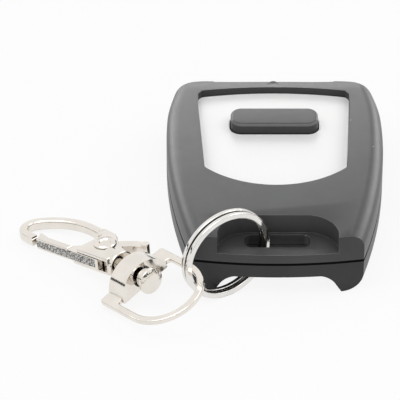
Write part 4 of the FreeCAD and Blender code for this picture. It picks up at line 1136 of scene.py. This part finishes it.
@dataclass(frozen=True)
class SoftLamp:
    """One square lamp, with its place and side in metres and its power in watts."""

    name: str
    place: Triple
    side: float
    power: float
    gloss_only: bool = False

    def hang(self, aim: Vector, metal: Sequence[bpy.types.Object]) -> None:
        """Hangs the lamp and points it at the fob.

        Args:
            aim: The place that it points at.
            metal: The polished pieces, which a lamp for gloss only doesn't light.
        """
        data = bpy.data.lights.new(self.name, "AREA")
        data.shape = "SQUARE"
        data.size = self.side
        data.energy = self.power
        lamp = bpy.data.objects.new(self.name, data)
        bpy.context.scene.collection.objects.link(lamp)
        lamp.location = self.place
        lamp.rotation_euler = (aim - Vector(self.place)).to_track_quat("-Z", "Y").to_euler()
        if self.gloss_only:
            lamp.visible_diffuse = False
            self._keep_off(lamp, metal)

    @staticmethod
    def _keep_off(lamp: bpy.types.Object, pieces: Sequence[bpy.types.Object]) -> None:
        """Keeps a lamp off some pieces, as a card between them would.

        Args:
            lamp: The lamp.
            pieces: The pieces that it doesn't light.
        """
        shaded = bpy.data.collections.new("Shaded_pieces")
        for piece in pieces:
            shaded.objects.link(piece)
        lamp.light_linking.receiver_collection = shaded
        for item in shaded.collection_objects:
            item.light_linking.link_state = "EXCLUDE"


@dataclass
class Studio:
    """Floor, lamps, surroundings and camera, as in a plain product photograph.

    The camera looks at the aim from a distance, at an elevation and an azimuth in degrees. The
    band is a dark cloth round the front and sides, which ends beside and behind the fob.
    """

    aim: Vector = field(default_factory=lambda: Vector((-15.59, 2.25, 0.0)) * MM)
    distance: float = 700.0 * MM
    elevation: float = 35.0
    azimuth: float = 0.0
    lens: float = 300.5
    sensor: float = 36.0
    farthest: float = 10.0
    floor_half: float = 1.5
    paper: float = 0.97
    shadow_share: float = 0.12
    room_light: float = 0.55
    band_radius: float = 0.8
    band_low: float = 0.03
    band_high: float = 0.11
    band_sides: int = 48
    band_end: float = 0.2
    band_cloth: Triple = (0.015, 0.014, 0.013)
    lamps: tuple[SoftLamp, ...] = (
        SoftLamp("Lamp_behind", (-0.13, 0.82, 0.36), 0.6, 4.2, gloss_only=True),
        SoftLamp("Lamp_above_left", (-0.4, -0.1, 0.85), 0.6, 1.5),
        SoftLamp("Lamp_rim_left", (-0.62, 0.66, 0.12), 0.6, 6.0, gloss_only=True),
        SoftLamp("Lamp_rim_right", (0.62, 0.66, 0.12), 0.6, 6.0, gloss_only=True),
        SoftLamp("Lamp_front", (0.1, -0.55, 0.8), 0.6, 1.1),
        SoftLamp("Lamp_right", (0.6, 0.1, 0.6), 0.5, 1.2),
    )

    def floor(self) -> None:
        """Lays the pale floor, which keeps a faint shadow."""
        deselect_all()
        bpy.ops.mesh.primitive_plane_add(size=2 * self.floor_half)
        plane = bpy.context.object
        plane.name = "Studio_floor"
        material = bpy.data.materials.new("Floor_paper")
        material.use_nodes = True
        tree = material.node_tree
        tree.nodes.clear()
        output = tree.nodes.new("ShaderNodeOutputMaterial")
        paper = tree.nodes.new("ShaderNodeBsdfDiffuse")
        paper.inputs["Color"].default_value = (*toned(WHITE, self.paper), 1.0)
        glow = tree.nodes.new("ShaderNodeEmission")
        glow.inputs["Color"].default_value = (*WHITE, 1.0)
        both = tree.nodes.new("ShaderNodeMixShader")
        both.inputs["Fac"].default_value = self.shadow_share
        seen = tree.nodes.new("ShaderNodeMixShader")
        tree.links.new(glow.outputs["Emission"], both.inputs[1])
        tree.links.new(paper.outputs["BSDF"], both.inputs[2])
        tree.links.new(self._seen(tree), seen.inputs["Fac"])
        tree.links.new(paper.outputs["BSDF"], seen.inputs[1])
        tree.links.new(both.outputs["Shader"], seen.inputs[2])
        tree.links.new(seen.outputs["Shader"], output.inputs["Surface"])
        plane.data.materials.append(material)

    @staticmethod
    def _seen(tree: bpy.types.NodeTree) -> bpy.types.NodeSocket:
        """Adds a value that is 1 for rays that see a surface directly, in gloss or through glass.

        Args:
            tree: The node tree to add to.

        Returns:
            The value socket.
        """
        path = tree.nodes.new("ShaderNodeLightPath")
        total = path.outputs["Is Camera Ray"]
        for name in ("Is Glossy Ray", "Is Transmission Ray"):
            either = tree.nodes.new("ShaderNodeMath")
            either.operation = "MAXIMUM"
            tree.links.new(total, either.inputs[0])
            tree.links.new(path.outputs[name], either.inputs[1])
            total = either.outputs["Value"]
        return total

    def world(self) -> None:
        """Surrounds the scene with white, which gives less light than it shows."""
        world = bpy.data.worlds.new("Studio_world")
        bpy.context.scene.world = world
        world.use_nodes = True
        tree = world.node_tree
        tree.nodes.clear()
        output = tree.nodes.new("ShaderNodeOutputWorld")
        mix = tree.nodes.new("ShaderNodeMixShader")
        tree.links.new(self._seen(tree), mix.inputs["Fac"])
        for place, strength in ((1, self.room_light), (2, 1.0)):
            light = tree.nodes.new("ShaderNodeBackground")
            light.inputs["Color"].default_value = (*WHITE, 1.0)
            light.inputs["Strength"].default_value = strength
            tree.links.new(light.outputs["Background"], mix.inputs[place])
        tree.links.new(mix.outputs["Shader"], output.inputs["Surface"])

    def dark_band(self) -> None:
        """Stands a low dark screen round the front and sides, which only polished faces show."""
        deselect_all()
        bpy.ops.mesh.primitive_cylinder_add(
            vertices=self.band_sides, radius=self.band_radius, depth=self.band_high - self.band_low,
            end_fill_type="NOTHING", location=(0.0, 0.0, (self.band_high + self.band_low) / 2))
        screen = bpy.context.object
        screen.name = "Studio_dark_band"
        bpy.ops.object.mode_set(mode="EDIT")
        bpy.ops.mesh.select_all(action="SELECT")
        bpy.ops.mesh.bisect(plane_co=(0.0, self.band_end, 0.0), plane_no=(0.0, 1.0, 0.0),
                            clear_outer=True)
        bpy.ops.object.mode_set(mode="OBJECT")
        material = bpy.data.materials.new("Dark_cloth")
        material.use_nodes = True
        cloth = material.node_tree.nodes["Principled BSDF"]
        cloth.inputs["Base Color"].default_value = (*self.band_cloth, 1.0)
        cloth.inputs["Roughness"].default_value = 1.0
        screen.data.materials.append(material)
        screen.visible_camera = False
        screen.visible_diffuse = False
        screen.visible_shadow = False

    def camera(self) -> None:
        """Puts the camera where the photograph was taken from."""
        data = bpy.data.cameras.new("Camera")
        data.sensor_width = self.sensor
        data.lens = self.lens
        data.clip_end = self.farthest
        camera = bpy.data.objects.new("Camera", data)
        bpy.context.scene.collection.objects.link(camera)
        rise = math.radians(self.elevation)
        turn = math.radians(self.azimuth)
        back = Vector((math.sin(turn) * math.cos(rise), -math.cos(turn) * math.cos(rise),
                       math.sin(rise)))
        camera.location = self.aim + back * self.distance
        camera.rotation_euler = (-back).to_track_quat("-Z", "Y").to_euler()
        bpy.context.scene.camera = camera

    def build(self, metal: Sequence[bpy.types.Object]) -> None:
        """Sets the whole studio.

        Args:
            metal: The polished pieces, which the lamps behind and beside the fob don't light.
        """
        self.floor()
        self.world()
        self.dark_band()
        for lamp in self.lamps:
            lamp.hang(self.aim, metal)
        self.camera()
        bpy.context.scene.view_settings.view_transform = "Standard"


def main() -> None:
    """Builds the fob and its studio."""
    logging.basicConfig(level=logging.INFO, format="%(name)s %(message)s")
    CaseShells().build()
    FacePlate().build()
    PressButton().build()
    IndicatorWindow().build()
    SmallParts().build()
    metal = MetalWork()
    metal.build()
    Studio().build(metal.pieces)


if __name__ == "__main__":
    main()
